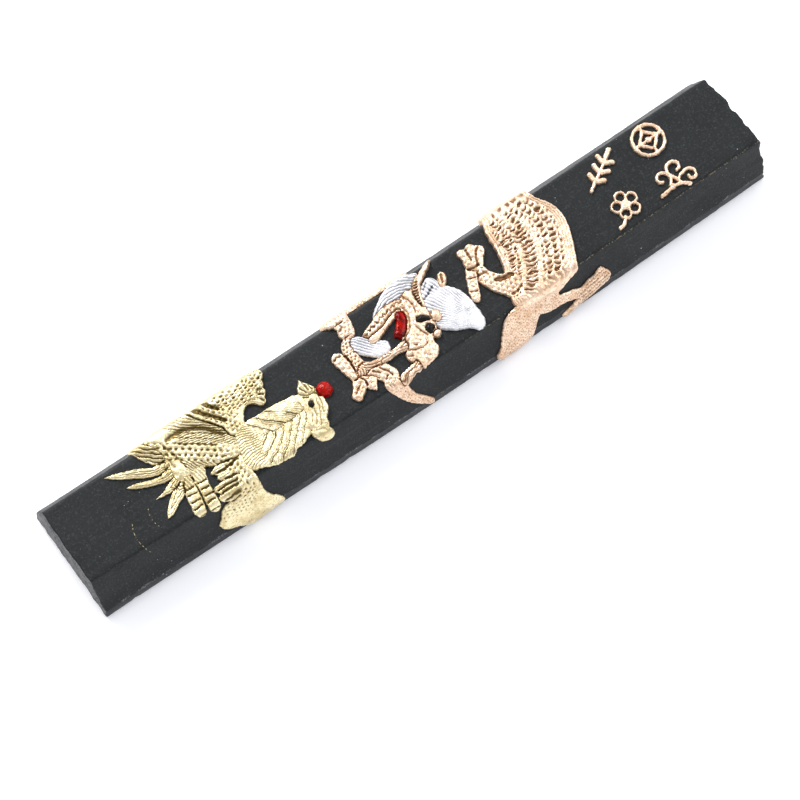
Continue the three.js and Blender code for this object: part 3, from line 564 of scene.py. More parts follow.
def head(x, s, edge):
    """Folds that run down the cheek towards the beak."""
    folds = creases(x, s, 0.15, [
        [(-19.0, -2.9), (-19.3, -4.0), (-20.1, -5.2)],
        [(-17.9, -2.0), (-18.2, -3.2), (-18.9, -4.6), (-19.6, -5.6)],
        [(-17.3, -1.6), (-17.5, -2.9), (-18.1, -4.2)],
        [(-19.8, -3.6), (-20.5, -4.6)],
    ])
    hollows = creases(x, s, 0.16, [[(-19.4, -0.6), (-18.7, -1.0)], [(-17.5, -0.9), (-17.0, -1.6)]])
    return 0.2 * folds + 0.26 * hollows


def crest(x, s, edge):
    flutes = [[(-18.9, 0.9), (-18.5, -0.2)], [(-18.1, 1.7), (-18.0, 0.0)], [(-17.5, 1.0), (-17.4, -0.2)]]
    return 0.26 * creases(x, s, 0.15, flutes)


def beak(x, s, edge):
    return 0.12 * crease(x, s, [(-20.6, -6.0), (-19.4, -6.3), (-18.7, -6.0)], 0.2)


def leg(x, s, edge):
    """Scales in rings round the leg, under soft feathers at its top."""
    s = s + 0.1 * noise(x, s, 1.6, 18)
    rings = grooves(s + 0.06 * x + 0.3, 1.1) ** 3 * step(-s, 2.2, 3.0)
    down = grooves(x + 0.2 * s, 0.5) * fall(-s, 2.4, 3.4)
    return 0.36 * rings + 0.15 * down


def lowered_wing(x, s, edge):
    fingers = creases(x, s, 0.17, [
        [(-37.4, -3.0), (-35.6, -3.2), (-33.2, -2.9)],
        [(-37.0, -4.4), (-35.4, -4.7), (-34.6, -4.8)],
        [(-38.3, -5.5), (-36.8, -5.4), (-35.0, -5.6)],
        [(-38.3, -6.2), (-36.8, -6.1), (-35.2, -6.2)],
        [(-38.2, -7.1), (-36.6, -6.9), (-35.6, -6.9)],
        [(-37.4, -8.0), (-35.8, -7.6)],
    ])
    fine = grooves(s + 0.05 * x, 0.36) * fall(x, -35.8, -34.8)
    scales = pits(x, s, (0.8, 0.74), (0.24, 0.2), 35) * between(x, -35.4, -32.9)
    return 0.4 * fingers + 0.12 * fine + 0.27 * scales


def wing_tip(x, s, edge):
    scales = pits(x, s, (0.8, 0.7), (0.2, 0.17), 35) * step(s - x, 22.2, 24.2)
    return 0.18 * scales * fall(-s, 10.8, 12.4) + 0.05 * (noise(x, s, 0.36, 11) - 0.8)


# ---- Details of the dragon ----


def scaled_body(x, s, edge):
    """Columns of scales that follow the bend of the body, with smooth ribs between and banded edges."""
    x, s = unsteady(x, s, 0.2, 1.5, 19)
    across = np.hypot(x - 8, s - 1) + 0.3 * np.maximum(0, 1 - s)
    along = 15.5 * np.arctan2(s - 1, x - 8)
    ladder = between(across, 14.3, 17.0, 0.1) * fall(s, 2.2, 3.0)
    rungs = crescents(across - 15.65, along, (2.9, 0.72), (1.12, 0.19), -1.3)
    scales = crescents(across - 15.0, along, (1.28, 0.74), (0.52, 0.21), -0.95)
    scales = ladder * rungs + (1 - ladder) * scales
    rib = bell(across, 17.35, 0.34) + bell(across, 14.0, 0.28) * fall(s, 2, 3)
    rib = rib * fall(s, 3.5, 5) + bell(across, 15.2, 0.3) * step(s, 3.0, 4.2)
    scales = scales * (1 - np.clip(rib, 0, 1)) * (0.8 + 0.4 * noise(x, s, 1.3, 20))
    inner = step(edge, 0.85, 1.15) * fall(-s, 5.8, 7.0) * fall(across, 21.0, 21.6)
    bands = grooves(edge + 0.1, 0.42) * between(edge, 0.3, 1.6, 0.1) * (1 - inner) * step(s, -8, -6)
    arc = creases(x, s, 0.13, [
        [(19.4, 2.4), (21.0, 2.7), (22.4, 2.2), (23.6, 1.2)],
        [(20.4, 1.6), (22, 1.5), (23, 0.6)],
    ])
    return 0.42 * scales * inner + 0.16 * bands + 0.22 * arc


def smooth_skin(x, s, edge):
    return 0.085 * (noise(x, s, 0.44, 21) - 0.75) + 0.02 * (noise(x, s, 1.4, 22) - 1)


def hind_leg(x, s, edge):
    across = turned(x, s, 12)[1]
    return smooth_skin(x, s, edge) + 0.1 * grooves(across, 0.8) * step(x, 26.0, 27.5)


def middle_leg(x, s, edge):
    shade = crease(x, s, [(16.1, -1.7), (17.2, -2.2), (18.6, -2.3)], 0.34)
    folds = creases(x, s, 0.2, [[(14.2, 0.4), (15.6, 0.1)], [(16.6, -5.0), (17.6, -5.1), (18.8, -4.6)]])
    return 0.22 * pits(x, s, (0.85, 0.74), (0.23, 0.18), -50) + 0.4 * shade + 0.26 * folds


def middle_paw(x, s, edge):
    toes = creases(x, s, 0.18, [
        [(15.0, 5.5), (14.9, 4.3), (14.8, 3.0)],
        [(17.1, 4.4), (16.2, 3.8), (15.5, 2.8), (15.2, 1.9)],
    ])
    wrist = crease(x, s, [(13.5, 2.1), (14.3, 1.8), (15.2, 1.8)], 0.2)
    return 0.3 * toes + 0.32 * wrist + 0.12 * pits(x, s, (0.8, 0.8), (0.25, 0.2))


def middle_toe(x, s, edge):
    knuckles = creases(x, s, 0.13, [[(11.4, -1.0), (12.7, -1.5)], [(12.2, 1.0), (13.6, 0.4)]])
    return 0.26 * knuckles + 0.12 * pits(x, s, (0.7, 0.7), (0.2, 0.2))


def forepaw(x, s, edge):
    """A forearm with two rows of scales, and folds over the knuckles."""
    scales = pits(x, s, (0.62, 0.55), (0.2, 0.14)) * step(s, -1.4, -0.9)
    folds = creases(x, s, 0.15, [
        [(-10.3, 2.6), (-10.2, 0.5), (-10.4, -1.2)],
        [(-9.6, -2.9), (-8.6, -3.6), (-7.9, -4.5)],
        [(-8.2, -3.0), (-7.3, -3.9)],
        [(-7.0, -3.2), (-6.2, -4.3), (-6.0, -5.2)],
        [(-7.2, -5.2), (-6.6, -4.8)],
    ])
    return 0.26 * scales + 0.28 * folds + 0.1 * pits(x, s, (0.9, 0.7), (0.25, 0.2), 25)


def fore_toe(x, s, edge):
    knuckles = creases(x, s, 0.15, [
        [(-12.3, 1.5), (-11.6, 1.9), (-10.9, 1.7)],
        [(-12.2, -4.5), (-11.2, -3.8)],
    ])
    return 0.26 * knuckles + 0.14 * pits(x, s, (0.9, 0.8), (0.25, 0.2), 30)


def foreleg(x, s, edge):
    folds = creases(x, s, 0.16, [
        [(-9.2, 4.9), (-8.0, 5.3)],
        [(-8.8, 6.0), (-7.4, 6.1)],
        [(-9.0, 3.6), (-8.0, 3.7)],
    ])
    return 0.26 * folds + 0.18 * pits(x, s, (0.7, 0.62), (0.22, 0.18))


def strands(x, s, edge):
    return 0.26 * grooves(edge + 0.03 * noise(x, s, 1.5, 10), 0.42) * step(edge, 0.08, 0.2)


def front_mane(x, s, edge):
    """Hair in arcs round the back of the jaw."""
    x, s = unsteady(x, s, 0.06, 2.0, 31)
    return 0.2 * grooves(np.hypot(x - 1.2, s + 0.5), 0.47)


def back_mane(x, s, edge):
    """Hair that runs together towards the tip of the mane."""
    x, s = unsteady(x, s, 0.07, 2.4, 32)
    reach = np.hypot(x - 11, s + 7.6)
    hair = grooves(9 * np.arctan2(s + 7.6, x - 11), 0.45) * step(reach, 1.6, 3.4)
    tufts = creases(x, s, 0.2, [[(5.2, 1.9), (6.3, 2.5), (7.3, 2.9)], [(5.8, 3.4), (6.8, 3.9)]])
    return 0.19 * hair * (0.75 + 0.35 * noise(x, s, 2.8, 33)) + 0.2 * tufts


def beard(x, s, edge):
    return 0.2 * grooves(turned(x, s, -52)[1], 0.45) * step(s, -1.6, 0.6)


def gums(x, s, edge):
    """A row of teeth between the gum and the lip."""
    x, s = unsteady(x, s, 0.1, 1.3, 34)
    rise = s - np.interp(x, [-5.9, -4.0, -2.0, 0.2, 1.6], [2.2, 2.75, 3.3, 3.6, 3.7])
    teeth = -bell(rise - 0.2 * np.sin(2 * math.pi * x / 0.9), 0, 0.15)
    return 0.24 * teeth + 0.18 * pits(x, s, (0.8, 0.6), (0.24, 0.18), 15)


def face(x, s, edge):
    hollows = creases(x, s, 0.15, [
        [(-0.6, -3.1), (-0.2, -3.5)],
        [(1.5, 2.6), (1.6, 1.4), (1.0, 0.1), (0.0, -1.1), (-1.2, -1.6)],
        [(-2.0, -3.2), (-1.0, -3.9), (0.3, -4.3), (1.3, -4.1)],
        [(1.4, -1.0), (1.7, -2.2), (2.1, -3.1)],
        [(2.4, 4.2), (2.9, 3.2), (3.0, 2.0), (2.7, 0.9)],
        [(-2.4, -4.2), (-1.7, -4.6)],
    ])
    pocks = 0.15 * pits(x, s, (0.85, 0.8), (0.24, 0.2), 25) * step(noise(x, s, 2, 35), -0.5, 0.3)
    return 0.24 * hollows + pocks


def horn(x, s, edge):
    """A ridge on the right, and notches down its left side."""
    ridge = np.interp(s, [0, 2.2, 4.4, 5.5, 6.3], [3.9, 4.6, 5.6, 6.8, 8.6])
    left = step(ridge - x, 0.0, 0.2)
    return (0.3 * grooves(s + 0.3 * x, 0.45) * fall(s, 4.4, 5.4) - 0.14) * left


def ear(x, s, edge):
    return 0.34 * creases(x, s, 0.22, [[(9.0, 2.6), (9.3, 3.2), (9.5, 3.8)]])


def shoulder(x, s, edge):
    return 0.25 * pits(x, s, (0.8, 0.7), (0.28, 0.2))


def plain(x, s, edge):
    return 0.0 * x


# ---- Height of a relief ----

# The patterns that are named after the one relief that they are cut into.
PHOENIX_DETAILS = (raised_wing, neck, head, crest, beak, lowered_wing, wing_tip)
DRAGON_DETAILS = (
    hind_leg, middle_leg, middle_paw, middle_toe, forepaw, foreleg,
    front_mane, back_mane, beard, face, horn, ear, shoulder,
)
# The pattern that is cut into each relief.
DETAILS = {
    **{f"phoenix_{detail.__name__}": detail for detail in PHOENIX_DETAILS},
    **{f"dragon_{detail.__name__}": detail for detail in DRAGON_DETAILS},
    "phoenix_tail_plume_1": tail_root,
    **{f"phoenix_tail_plume_{k}": plume for k in (2, 3, 4, 5)},
    "phoenix_body": phoenix_body,
    "phoenix_rear_leg": leg,
    "phoenix_front_leg": leg,
    "dragon_body": scaled_body,
    "dragon_tail": smooth_skin,
    **{f"dragon_fore_toe_{k}": fore_toe for k in (1, 2, 3)},
    "dragon_upper_whisker": strands,
    "dragon_lower_whisker": strands,
    "dragon_upper_jaw": gums,
    "dragon_flame": smooth_skin,
}
# The reliefs that stand on their own as domes: the height of the foot as a share of the whole height, and the
# radius of the rounded edge. The others run into each other.
STANDING = {
    "phoenix_eye": (0.75, 0.3),
    "dragon_upper_eye": (0.7, 0.35),
    "dragon_lower_eye": (0.7, 0.55),
    "dragon_upper_brow": (0.6, 0.85),
    "dragon_lower_brow": (0.5, 0.75),
    "dragon_tongue": (0.5, 0.7),
    "dragon_horn": (0.55, 0.5),
    "dragon_ear": (0.4, 0.7),
    "dragon_front_mane": (0.6, 1.1),
    "dragon_back_mane": (0.7, 1.6),
    "dragon_beard": (0.5, 1.2),
    "dragon_upper_whisker": (0.55, 0.5),
    "dragon_lower_whisker": (0.55, 0.5),
    "dragon_upper_lip": (0.5, 0.35),
    "phoenix_crest": (0.6, 0.6),
    "red_pearl": (0.1, 1.25),
}
# Neighbours with no seam between them.
PHOENIX_FLUSH = [
    ("neck", "head"), ("head", "beak"), ("neck", "beak"), ("neck", "body"), ("neck", "lowered_wing"),
    ("lowered_wing", "wing_tip"), ("raised_wing", "neck"), ("body", "rear_leg"), ("body", "front_leg"),
    *(("body", f"tail_plume_{k}") for k in range(1, 6)),
]
DRAGON_FLUSH = [
    ("body", "tail"), ("body", "hind_leg"), ("tail", "hind_leg"), ("middle_leg", "body"),
    ("middle_paw", "middle_leg"), ("forepaw", "flame"), ("forepaw", "fore_toe_3"), ("forepaw", "foreleg"),
    ("foreleg", "shoulder"), ("face", "upper_jaw"), ("face", "lower_whisker"),
]
FLUSH = {
    frozenset((f"{animal}_{a}", f"{animal}_{b}"))
    for animal, pairs in (("phoenix", PHOENIX_FLUSH), ("dragon", DRAGON_FLUSH))
    for a, b in pairs
}
MELT_WIDTH = 0.5  # how far the heights of neighbouring reliefs run into each other
SEAM_WIDTH = 0.17
SEAM_DEPTH = 0.26
ORNAMENT_EDGE = 0.32  # radius of an ornament's rounded edge
EDGE_RADIUS, EDGE_SHARE = 0.26, 0.72  # the steep foot of a relief, and its share of the height
CROWN_RADIUS = 2.2  # the slow rise from there to the middle
FULL_SHADE_DEPTH = 0.33  # depth at which a hollow gets the full painted shade


def blended_height(relief, points):
    """The CAD heights of the reliefs around each point, melted into each other."""
    total, weights = 0.0, 0.0
    for other in [relief, *relief.neighbours]:
        if other is not relief and other.node in STANDING:
            continue
        gap = distance(points, other.starts, other.ends)
        gap[inside(points, other.loops)] = 0
        weight = bell(gap, 0, MELT_WIDTH)
        total, weights = total + weight * other.height, weights + weight
    return total / weights


def shaped(relief, points):
    """Height of a relief at each point, and how hollow it is, which darkens its paint as painted shade."""
    x, s = points.T
    own = distance(points, relief.starts, relief.ends)
    edge = distance(points, *relief.open_sides())
    away = step(edge, 0.03, 0.3)
    if relief.node.startswith("ornament"):
        surface = RIM + (relief.height - RIM) * dome(own, ORNAMENT_EDGE)
    elif relief.node in STANDING:
        foot_share, radius = STANDING[relief.node]
        foot = RIM + (foot_share * relief.height - RIM) * away
        surface = foot + (relief.height - foot) * dome(own, radius)
    else:
        rise = EDGE_SHARE * dome(edge, EDGE_RADIUS) + (1 - EDGE_SHARE) * dome(edge, CROWN_RADIUS)
        surface = RIM + (blended_height(relief, points) - RIM) * rise
    seams = np.array([m is not None and frozenset((relief.node, m)) not in FLUSH for m in relief.meets])
    seam = bell(distance(points, relief.starts[seams], relief.ends[seams]), 0, SEAM_WIDTH)
    detail = DETAILS.get(relief.node, plain)(x, s, edge)
    lumps = 0.012 * (noise(x, s, 0.9, 5) - 1) + 0.02 * (noise(x, s, 3.1, 6) - 1)
    carved = (detail - SEAM_DEPTH * seam * (relief.node not in STANDING)) * away
    height = np.clip(surface + carved + lumps * away, 0.04, relief.height)
    # Painted shade: the paint darkens in the carved hollows and seams, and a little along the foot of the
    # relief at its open edges.
    hollow = np.clip(-carved / FULL_SHADE_DEPTH, 0, 1) + 0.25 * bell(edge, 0, 0.08)
    return height, np.clip(hollow, 0, 1)


# ---- The ink bar ----

BAR_STEP = 0.9  # between the rings of the bar
SECTION_DENSITY = 1.8  # places round the section per millimetre, where it is straight
SQUARE_END_CHIPS = 0.12
SQUARE_END_REACH = 0.6  # how far the chips reach along the bar
# How much lighter the square end's face is: scuffing, and a painted sheen where light grazes it.
SQUARE_END_SCUFF_AND_SHEEN = 0.8
ROUGH_END_CHIPS = 0.34
LEFT_FLARE = 0.55  # how much wider the front side of the foot is at the square end
LEFT_FLARE_LENGTH = 11
# Rings near the ends: how far they are from the end, how much smaller, and their share of the end's bulge.
SQUARE_END = (
    *((0.3, shrink, 0.0) for shrink in np.linspace(0.96, 0.06, 14)),
    (0.31, 0.03, 0.0),
    (0.36, 0.012, 0.0),
    (0.5, 0.003, 0.0),
    (0.8, 0.0, 0.0),
)
ROUGH_END = (
    (1.3, 0.0, 0.2),
    (0.8, 0.0, 0.55),
    (0.4, 0.0, 0.85),
    (0.15, 0.003, 0.97),
    (0.03, 0.012, 1.0),
    *((0.0, shrink, 1.0) for shrink in np.linspace(0.035, 0.965, 20)),
)


def section_samples():
    """Places round the section, close together on the rounded corners."""
    bend = np.abs(np.gradient(np.unwrap(np.arctan2(SKIN.nz, SKIN.ny)), SKIN.s))
    density = SECTION_DENSITY + np.minimum(bend, 1.2) * 6
    travelled = np.concatenate([[0], np.cumsum((density[1:] + density[:-1]) / 2 * np.diff(SKIN.s))])
    count = int(travelled[-1]) + 1
    return np.interp(np.linspace(0, travelled[-1], count + 1)[:-1], travelled, SKIN.s)


def bar_surface(x, s):
    """How far the worn surface lies under the CAD bar's, how scuffed it is, and where it is gilt."""
    corner = np.abs(np.gradient(np.unwrap(np.arctan2(SKIN.nz, SKIN.ny)), SKIN.s)) > 0.2
    fold = np.interp(s, SKIN.s, corner)
    waves = 0.04 * (1.2 + noise(x * 0.4, s, 9, 41)) + 0.012 * (1.2 + noise(x, s, 1.7, 42))
    chips = np.maximum(0, noise(x, s, 2.3, 43) - 0.5) * 0.2 * fold
    corners = SKIN.s[1:][(np.diff(corner.astype(int)) == 1) & (SKIN.s[1:] < 0)]
    parting = bell(s - corners[-2] - 0.1, 0, 0.35)
    gilding = bell(s - corners[-1] - 0.25, 0, 0.12) * step(x, 4, 12)
    scuff_and_sheen = np.clip(parting + 0.4 * fold, 0, 1) * (0.6 + 0.4 * noise(x, s * 0.2, 3.0, 44))
    return -np.maximum(0.002, waves + chips), scuff_and_sheen, 0.4 * gilding


def broken(y, z):
    """The rough end of the bar: crumbled on a coarse and a fine scale."""
    return np.clip(0.8 * noise(y, z, 3.3, 51) + 0.45 * noise(y, z, 1.4, 52), -1.2, 1)


def bar_ring(x, s, shrink=0.0, bulge=0.0):
    """One ring round the bar, drawn in by shrink: its points, how scuffed they are, with a painted sheen on
    the square end's face, and how gilt they are.
    """
    from_left = x + SKIN.half_length
    x = np.full(len(s), x)
    depth, scuff_and_sheen, gilding = bar_surface(x, s)
    points = SKIN.place(x, s, depth)
    flare = LEFT_FLARE * math.exp(-from_left / LEFT_FLARE_LENGTH)
    points[:, 1] -= flare * step(-points[:, 1], 5, 9) * fall(points[:, 2], 2, 5)
    middle = np.array([0, SKIN.thickness / 2])
    points[:, 1:] = middle + (points[:, 1:] - middle) * (1 - shrink)
    if bulge:
        swollen = SKIN.end_at(points[:, 1]) - SKIN.half_length
        chips = ROUGH_END_CHIPS * (broken(points[:, 1], points[:, 2]) - 1)
        points[:, 0] += bulge * (swollen + chips)
    elif from_left < SQUARE_END_REACH:
        points[:, 0] += SQUARE_END_CHIPS * (1 + broken(points[:, 1] + 40, points[:, 2]))
        # The square end's face is lighter: scuffed, and with a painted sheen where light grazes it.
        scuff_and_sheen = np.maximum(scuff_and_sheen, SQUARE_END_SCUFF_AND_SHEEN * (from_left < 0.35))
    return points, scuff_and_sheen, gilding


def tube_faces(rings, around):
    """Quads between rings, and a fan over each end, whose middles are the last two points."""
    faces = []
    for a in range(0, (rings - 1) * around, around):
        b = a + around
        faces += [(a + i, a + (i + 1) % around, b + (i + 1) % around, b + i) for i in range(around)]
    first_middle, last = rings * around, (rings - 1) * around
    faces += [(first_middle, (i + 1) % around, i) for i in range(around)]
    faces += [(first_middle + 1, last + i, last + (i + 1) % around) for i in range(around)]
    return faces


def ink_bar():
    s = section_samples()
    left, right = -SKIN.half_length, SKIN.half_length
    rings = [bar_ring(left + inset, s, shrink, bulge) for inset, shrink, bulge in SQUARE_END]
    rings += [bar_ring(x, s) for x in np.arange(left + 1.2, right - 1.6, BAR_STEP)]
    rings += [bar_ring(right - inset, s, shrink, bulge) for inset, shrink, bulge in ROUGH_END]
    places, scuffs_and_sheen, gilding = zip(*rings)
    points = np.vstack([*places, places[0].mean(0), places[-1].mean(0)])
    faces = tube_faces(len(rings), len(s))
    painted = {
        "scuff_and_sheen": np.concatenate([*scuffs_and_sheen, [SQUARE_END_SCUFF_AND_SHEEN, 0]]),
        "gilding": np.concatenate([*gilding, [0, 0]]),
    }
    return build_mesh("ink_bar_moulded", points, faces, [True] * len(faces), painted)


# ---- Materials ----


class Nodes:
    """A new material's node tree, with short ways to add and join nodes."""

    def __init__(self, name):
        self.material = bpy.data.materials.new(name)
        self.material.use_nodes = True
        self.tree = self.material.node_tree
        self.surface = self.tree.nodes["Principled BSDF"]
        self.position = self.add("ShaderNodeTexCoord").outputs["Object"]

    def add(self, kind, **settings):
        node = self.tree.nodes.new(kind)
        for key, value in settings.items():
            setattr(node, key, value)
        return node

    def put(self, socket, value):
        """Links an output to a socket, or sets the socket's own value."""
        if isinstance(value, bpy.types.NodeSocket):
            self.tree.links.new(value, socket)
        else:
            socket.default_value = value

    def noise(self, scale, detail=3.0, roughness=0.5, stretch=(1, 1, 1)):
        mapping = self.add("ShaderNodeMapping")
        mapping.inputs["Scale"].default_value = stretch
        self.put(mapping.inputs["Vector"], self.position)
        node = self.add("ShaderNodeTexNoise")
        self.put(node.inputs["Vector"], mapping.outputs["Vector"])
        node.inputs["Scale"].default_value = scale
        node.inputs["Detail"].default_value = detail
        node.inputs["Roughness"].default_value = roughness
        return node.outputs["Fac"]

    def attribute(self, name):
        return self.add("ShaderNodeAttribute", attribute_name=name).outputs["Fac"]

    def ramp(self, value, low, high, start=0.0, end=1.0):
        node = self.add("ShaderNodeMapRange", interpolation_type="SMOOTHSTEP")
        for key, given in (("From Min", low), ("From Max", high), ("To Min", start), ("To Max", end)):
            node.inputs[key].default_value = given
        self.put(node.inputs["Value"], value)
        return node.outputs["Result"]

    def mix(self, share, a, b):
        node = self.add("ShaderNodeMix", data_type="RGBA")
        self.put(node.inputs["Factor"], share)
        self.put(node.inputs[6], (*a, 1) if isinstance(a, tuple) else a)
        self.put(node.inputs[7], (*b, 1) if isinstance(b, tuple) else b)
        return node.outputs[2]

    def bump(self, height, distance_mm, strength=1.0, under=None):
        node = self.add("ShaderNodeBump")
        node.inputs["Strength"].default_value = strength
        node.inputs["Distance"].default_value = distance_mm * MM
        self.put(node.inputs["Height"], height)
        if under is not None:
            self.put(node.inputs["Normal"], under)
        return node.outputs["Normal"]

    def math(self, operation, a, b):
        node = self.add("ShaderNodeMath", operation=operation)
        self.put(node.inputs[0], a)
        self.put(node.inputs[1], b)
        return node.outputs["Value"]

    def times(self, a, b):
        return self.math("MULTIPLY", a, b)

    def larger(self, a, b):
        return self.math("MAXIMUM", a, b)

    def speckles(self, scale, size, rarity):
        """Small dots, in the places where a slow noise is over rarity."""
        cells = self.add("ShaderNodeTexVoronoi")
        self.put(cells.inputs["Vector"], self.position)
        cells.inputs["Scale"].default_value = scale
        dots = self.ramp(cells.outputs["Distance"], size, size * 0.5)
        return self.times(dots, self.ramp(self.noise(170, 1.0), rarity, rarity + 0.03))

    def speckled_arc(self, centre, radius):
        """A thin broken arc, on the side of its centre that faces the square end."""
        away = self.add("ShaderNodeVectorMath", operation="DISTANCE")
        self.put(away.inputs[0], self.position)
        away.inputs[1].default_value = [c * MM for c in centre]
        off = self.math("ABSOLUTE", self.math("SUBTRACT", away.outputs["Value"], radius * MM), 0)
        line = self.ramp(off, 0.07 * MM, 0.02 * MM)
        split = self.add("ShaderNodeSeparateXYZ")
        self.put(split.inputs["Vector"], self.position)
        limits = [(centre[0] - share * radius) * MM for share in (0.84, 0.86)]
        facing = self.ramp(split.outputs["X"], *limits)
        return self.times(self.times(line, facing), self.ramp(self.noise(3000, 2.0), 0.53, 0.60))

    def finish(self, **values):
        for key, value in values.items():
            self.put(self.surface.inputs[key.replace("_", " ")], value)
        return self.material


def metallic_paint(name, bright, middle, deep, metallic, grit):
    """Metallic paint brushed on by hand: grainy, and darkened to brown in the hollows, partly because the
    paint is thin there and partly as painted shade.
    """
    nodes = Nodes(name)
    patches = nodes.ramp(nodes.noise(420, 4.0, 0.6), 0.42, 0.66)
    grain = nodes.noise(2700, 3.0, 0.65)
    unshaded_paint = nodes.mix(patches, bright, middle)
    unshaded_paint = nodes.mix(nodes.ramp(grain, 0.52, 0.70, 0.0, grit), unshaded_paint, deep)
    # Painted shade: the paint darkens towards the deep colour where the relief is hollow.
    hollows = nodes.ramp(nodes.attribute("hollow"), 0.1, 0.8)
    colour = nodes.mix(hollows, unshaded_paint, deep)
    roughness = nodes.ramp(grain, 0.35, 0.7, 0.28, 0.45)
    normal = nodes.bump(grain, 0.09, 0.8)
    return nodes.finish(Base_Color=colour, Metallic=metallic, Roughness=roughness, Normal=normal)


def gloss_paint(name, bright, deep, roughness):
    """Thick glossy paint, a little uneven."""
    nodes = Nodes(name)
    colour = nodes.mix(nodes.ramp(nodes.noise(900), 0.4, 0.65), bright, deep)
    normal = nodes.bump(nodes.noise(1100), 0.25, 0.6)
    return nodes.finish(Base_Color=colour, Roughness=roughness, Normal=normal, Specular_IOR_Level=0.14)


def pressed_ink():
    """Dull greenish black ink: fine grain, faint drag marks, dust, scuffed edges, a painted sheen on the
    square end's face, and stray gilding.
    """
    nodes = Nodes("pressed_ink")
    clouds = nodes.ramp(nodes.noise(130, 5.0, 0.6), 0.35, 0.7)
    drags = nodes.noise(900, 3.0, 0.6, (0.04, 1, 1))
    grain = nodes.noise(3300, 4.0, 0.7)
    base = nodes.mix(clouds, (0.0020, 0.0034, 0.0038), (0.0062, 0.0080, 0.0094))
    base = nodes.mix(nodes.ramp(grain, 0.5, 0.72, 0.0, 0.8), base, (0.034, 0.038, 0.040))
    base = nodes.mix(nodes.ramp(drags, 0.6, 0.72, 0.0, 0.3), base, (0.030, 0.033, 0.034))
    # Lighter grey where scuffed, and a painted sheen on the square end's face.
    worn = nodes.times(nodes.ramp(nodes.attribute("scuff_and_sheen"), 0.35, 0.9), nodes.ramp(grain, 0.42, 0.6))
    base = nodes.mix(nodes.times(worn, 0.75), base, (0.16, 0.16, 0.165))
    base = nodes.mix(nodes.speckles(360, 0.055, 0.55), base, (0.42, 0.43, 0.46))
    base = nodes.mix(nodes.speckles(900, 0.085, 0.58), base, (0.22, 0.22, 0.23))
    gilding = nodes.times(nodes.attribute("gilding"), nodes.ramp(nodes.noise(3100, 2.0), 0.5, 0.62))
    for centre, radius in STRAY_ARCS:
        gilding = nodes.larger(gilding, nodes.speckled_arc(centre, radius))
    base = nodes.mix(gilding, base, (0.42, 0.33, 0.18))
    roughness = nodes.ramp(clouds, 0.0, 1.0, 0.48, 0.62)
    normal = nodes.bump(grain, 0.06, 0.6, nodes.bump(drags, 0.08, 0.6))
    return nodes.finish(Base_Color=base, Roughness=roughness, Normal=normal, Specular_IOR_Level=0.25)


# Broken arcs of gilding on the face, left by the brush: their centres in millimetres, and their radii.
STRAY_ARCS = (((-45.4, -3.9, 9.9), 3.6), ((-47.6, -5.4, 9.9), 5.0))
# Bright and middling colour, deep colour for the grit and for the painted shade in the hollows, how metallic
# the paint is, and how gritty.
METALLIC_PAINTS = {
    "gold_paint": ((0.86, 0.75, 0.48), (0.66, 0.54, 0.29), (0.13, 0.09, 0.025), 0.8, 0.6),
    "rose_gold_paint": ((0.88, 0.67, 0.50), (0.74, 0.50, 0.33), (0.19, 0.095, 0.04), 0.8, 0.6),
    "silver_paint": ((0.78, 0.78, 0.81), (0.64, 0.65, 0.68), (0.07, 0.075, 0.09), 0.4, 0.3),
}
# Bright and deep colour, and roughness.
GLOSS_PAINTS = {
    "red_paint": ((0.34, 0.005, 0.002), (0.10, 0.001, 0.0005), 0.12),
    "black_paint": ((0.006, 0.006, 0.006), (0.012, 0.012, 0.012), 0.22),
}
MATERIALS = {
    "ink": pressed_ink(),
    **{name: metallic_paint(name, *values) for name, values in METALLIC_PAINTS.items()},
    **{name: gloss_paint(name, *values) for name, values in GLOSS_PAINTS.items()},
}


def finish_piece(piece, node, slot):
    piece.data.materials.append(MATERIALS[slot])
    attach(piece, "root")
    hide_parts(node)


# ---- Floor, light and camera ----

FLOOR_HALF_SIZE = 6.0  # metres
CAMERA_AIM = (-5.3, -6.8, 0.0)
CAMERA_HEADING = 35.19  # degrees that the bar is turned in the picture
CAMERA_ELEVATION = 70.0
CAMERA_DISTANCE = 581.0  # millimetres
CAMERA_LENS = 168.2
TENT_SIDES, TENT_TOP = 1.55, 0.5  # brightness of the light tent


def floor():
    size = FLOOR_HALF_SIZE
    mesh = bpy.data.meshes.new("floor")
    corners = [(-size, -size, 0), (size, -size, 0), (size, size, 0), (-size, size, 0)]
    mesh.from_pydata(corners, [], [(0, 1, 2, 3)])
    nodes = Nodes("white_paper")
    glow = {"Emission_Color": (0.9, 0.91, 1.0, 1), "Emission_Strength": 0.13}
    mesh.materials.append(nodes.finish(Base_Color=(0.97, 0.97, 0.98, 1), Roughness=0.9, **glow))
    add_object("floor", mesh)


def area_light(name, place_mm, size_mm, watts, colour):
    light = bpy.data.lights.new(name, "AREA")
    light.shape = "DISK"
    light.size = size_mm * MM
    light.energy = watts
    light.color = colour
    thing = add_object(name, light)
    place = Vector(place_mm) * MM
    thing.location = place
    thing.rotation_euler = (-place).to_track_quat("-Z", "Y").to_euler()


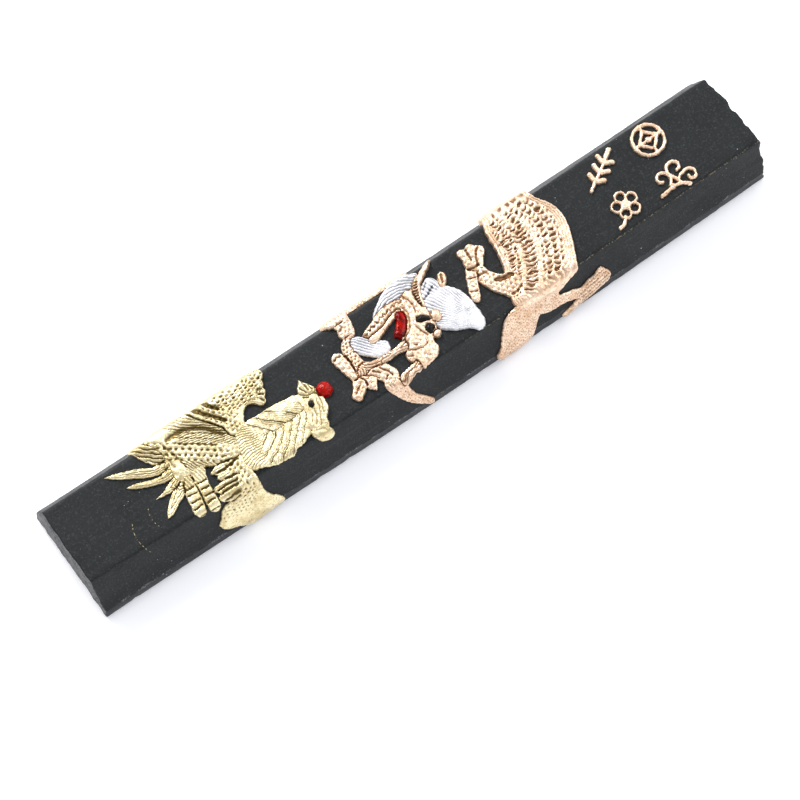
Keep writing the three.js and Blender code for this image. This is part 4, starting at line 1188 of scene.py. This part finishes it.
def lighting():
    """A light tent that is bright all round and darker overhead, and two soft lamps."""
    area_light("key", (-60, 700, 620), 420, 8.2, (1.0, 0.985, 0.96))
    area_light("fill", (500, 20, 640), 600, 2.7, (0.95, 0.97, 1.0))
    world = bpy.data.worlds.new("light_tent")
    bpy.context.scene.world = world
    world.use_nodes = True
    tree = world.node_tree
    direction = tree.nodes.new("ShaderNodeTexCoord")
    split = tree.nodes.new("ShaderNodeSeparateXYZ")
    fade = tree.nodes.new("ShaderNodeMapRange")
    fade.interpolation_type = "SMOOTHSTEP"
    for key, value in (("From Min", 0.2), ("From Max", 0.9), ("To Min", TENT_SIDES), ("To Max", TENT_TOP)):
        fade.inputs[key].default_value = value
    background = tree.nodes["Background"]
    background.inputs["Color"].default_value = (0.95, 0.965, 1.0, 1)
    tree.links.new(direction.outputs["Generated"], split.inputs["Vector"])
    tree.links.new(split.outputs["Z"], fade.inputs["Value"])
    tree.links.new(fade.outputs["Result"], background.inputs["Strength"])


def camera():
    elevation, heading = math.radians(CAMERA_ELEVATION), math.radians(CAMERA_HEADING)
    right = Vector((math.cos(heading), -math.sin(heading), 0))
    ahead = Vector((math.sin(heading), math.cos(heading), 0))
    forward = ahead * math.cos(elevation) - Vector((0, 0, math.sin(elevation)))
    up = right.cross(forward)
    data = bpy.data.cameras.new("camera")
    data.lens = CAMERA_LENS
    data.clip_start = 0.01
    thing = add_object("camera", data)
    place = Vector(CAMERA_AIM) * MM - forward * CAMERA_DISTANCE * MM
    axes = Matrix((right, up, -forward)).transposed().to_4x4()
    thing.matrix_world = Matrix.Translation(place) @ axes
    bpy.context.scene.camera = thing


# ---- Putting it together ----

slots = {row["node"]: row["material_slot"] for row in frame["record"]["subparts"]}
finish_piece(ink_bar(), "ink_bar", "ink")
reliefs = [Relief(node) for node in sorted(frame["nodes"]) if node != "ink_bar"]
for relief in reliefs:
    relief.find_neighbours(reliefs)
    relief.close_gaps()
for relief in reliefs:
    finish_piece(relief_mesh(relief, shaped), relief.node, slots[relief.node])
floor()
lighting()
camera()
bpy.context.scene.view_settings.view_transform = "Standard"
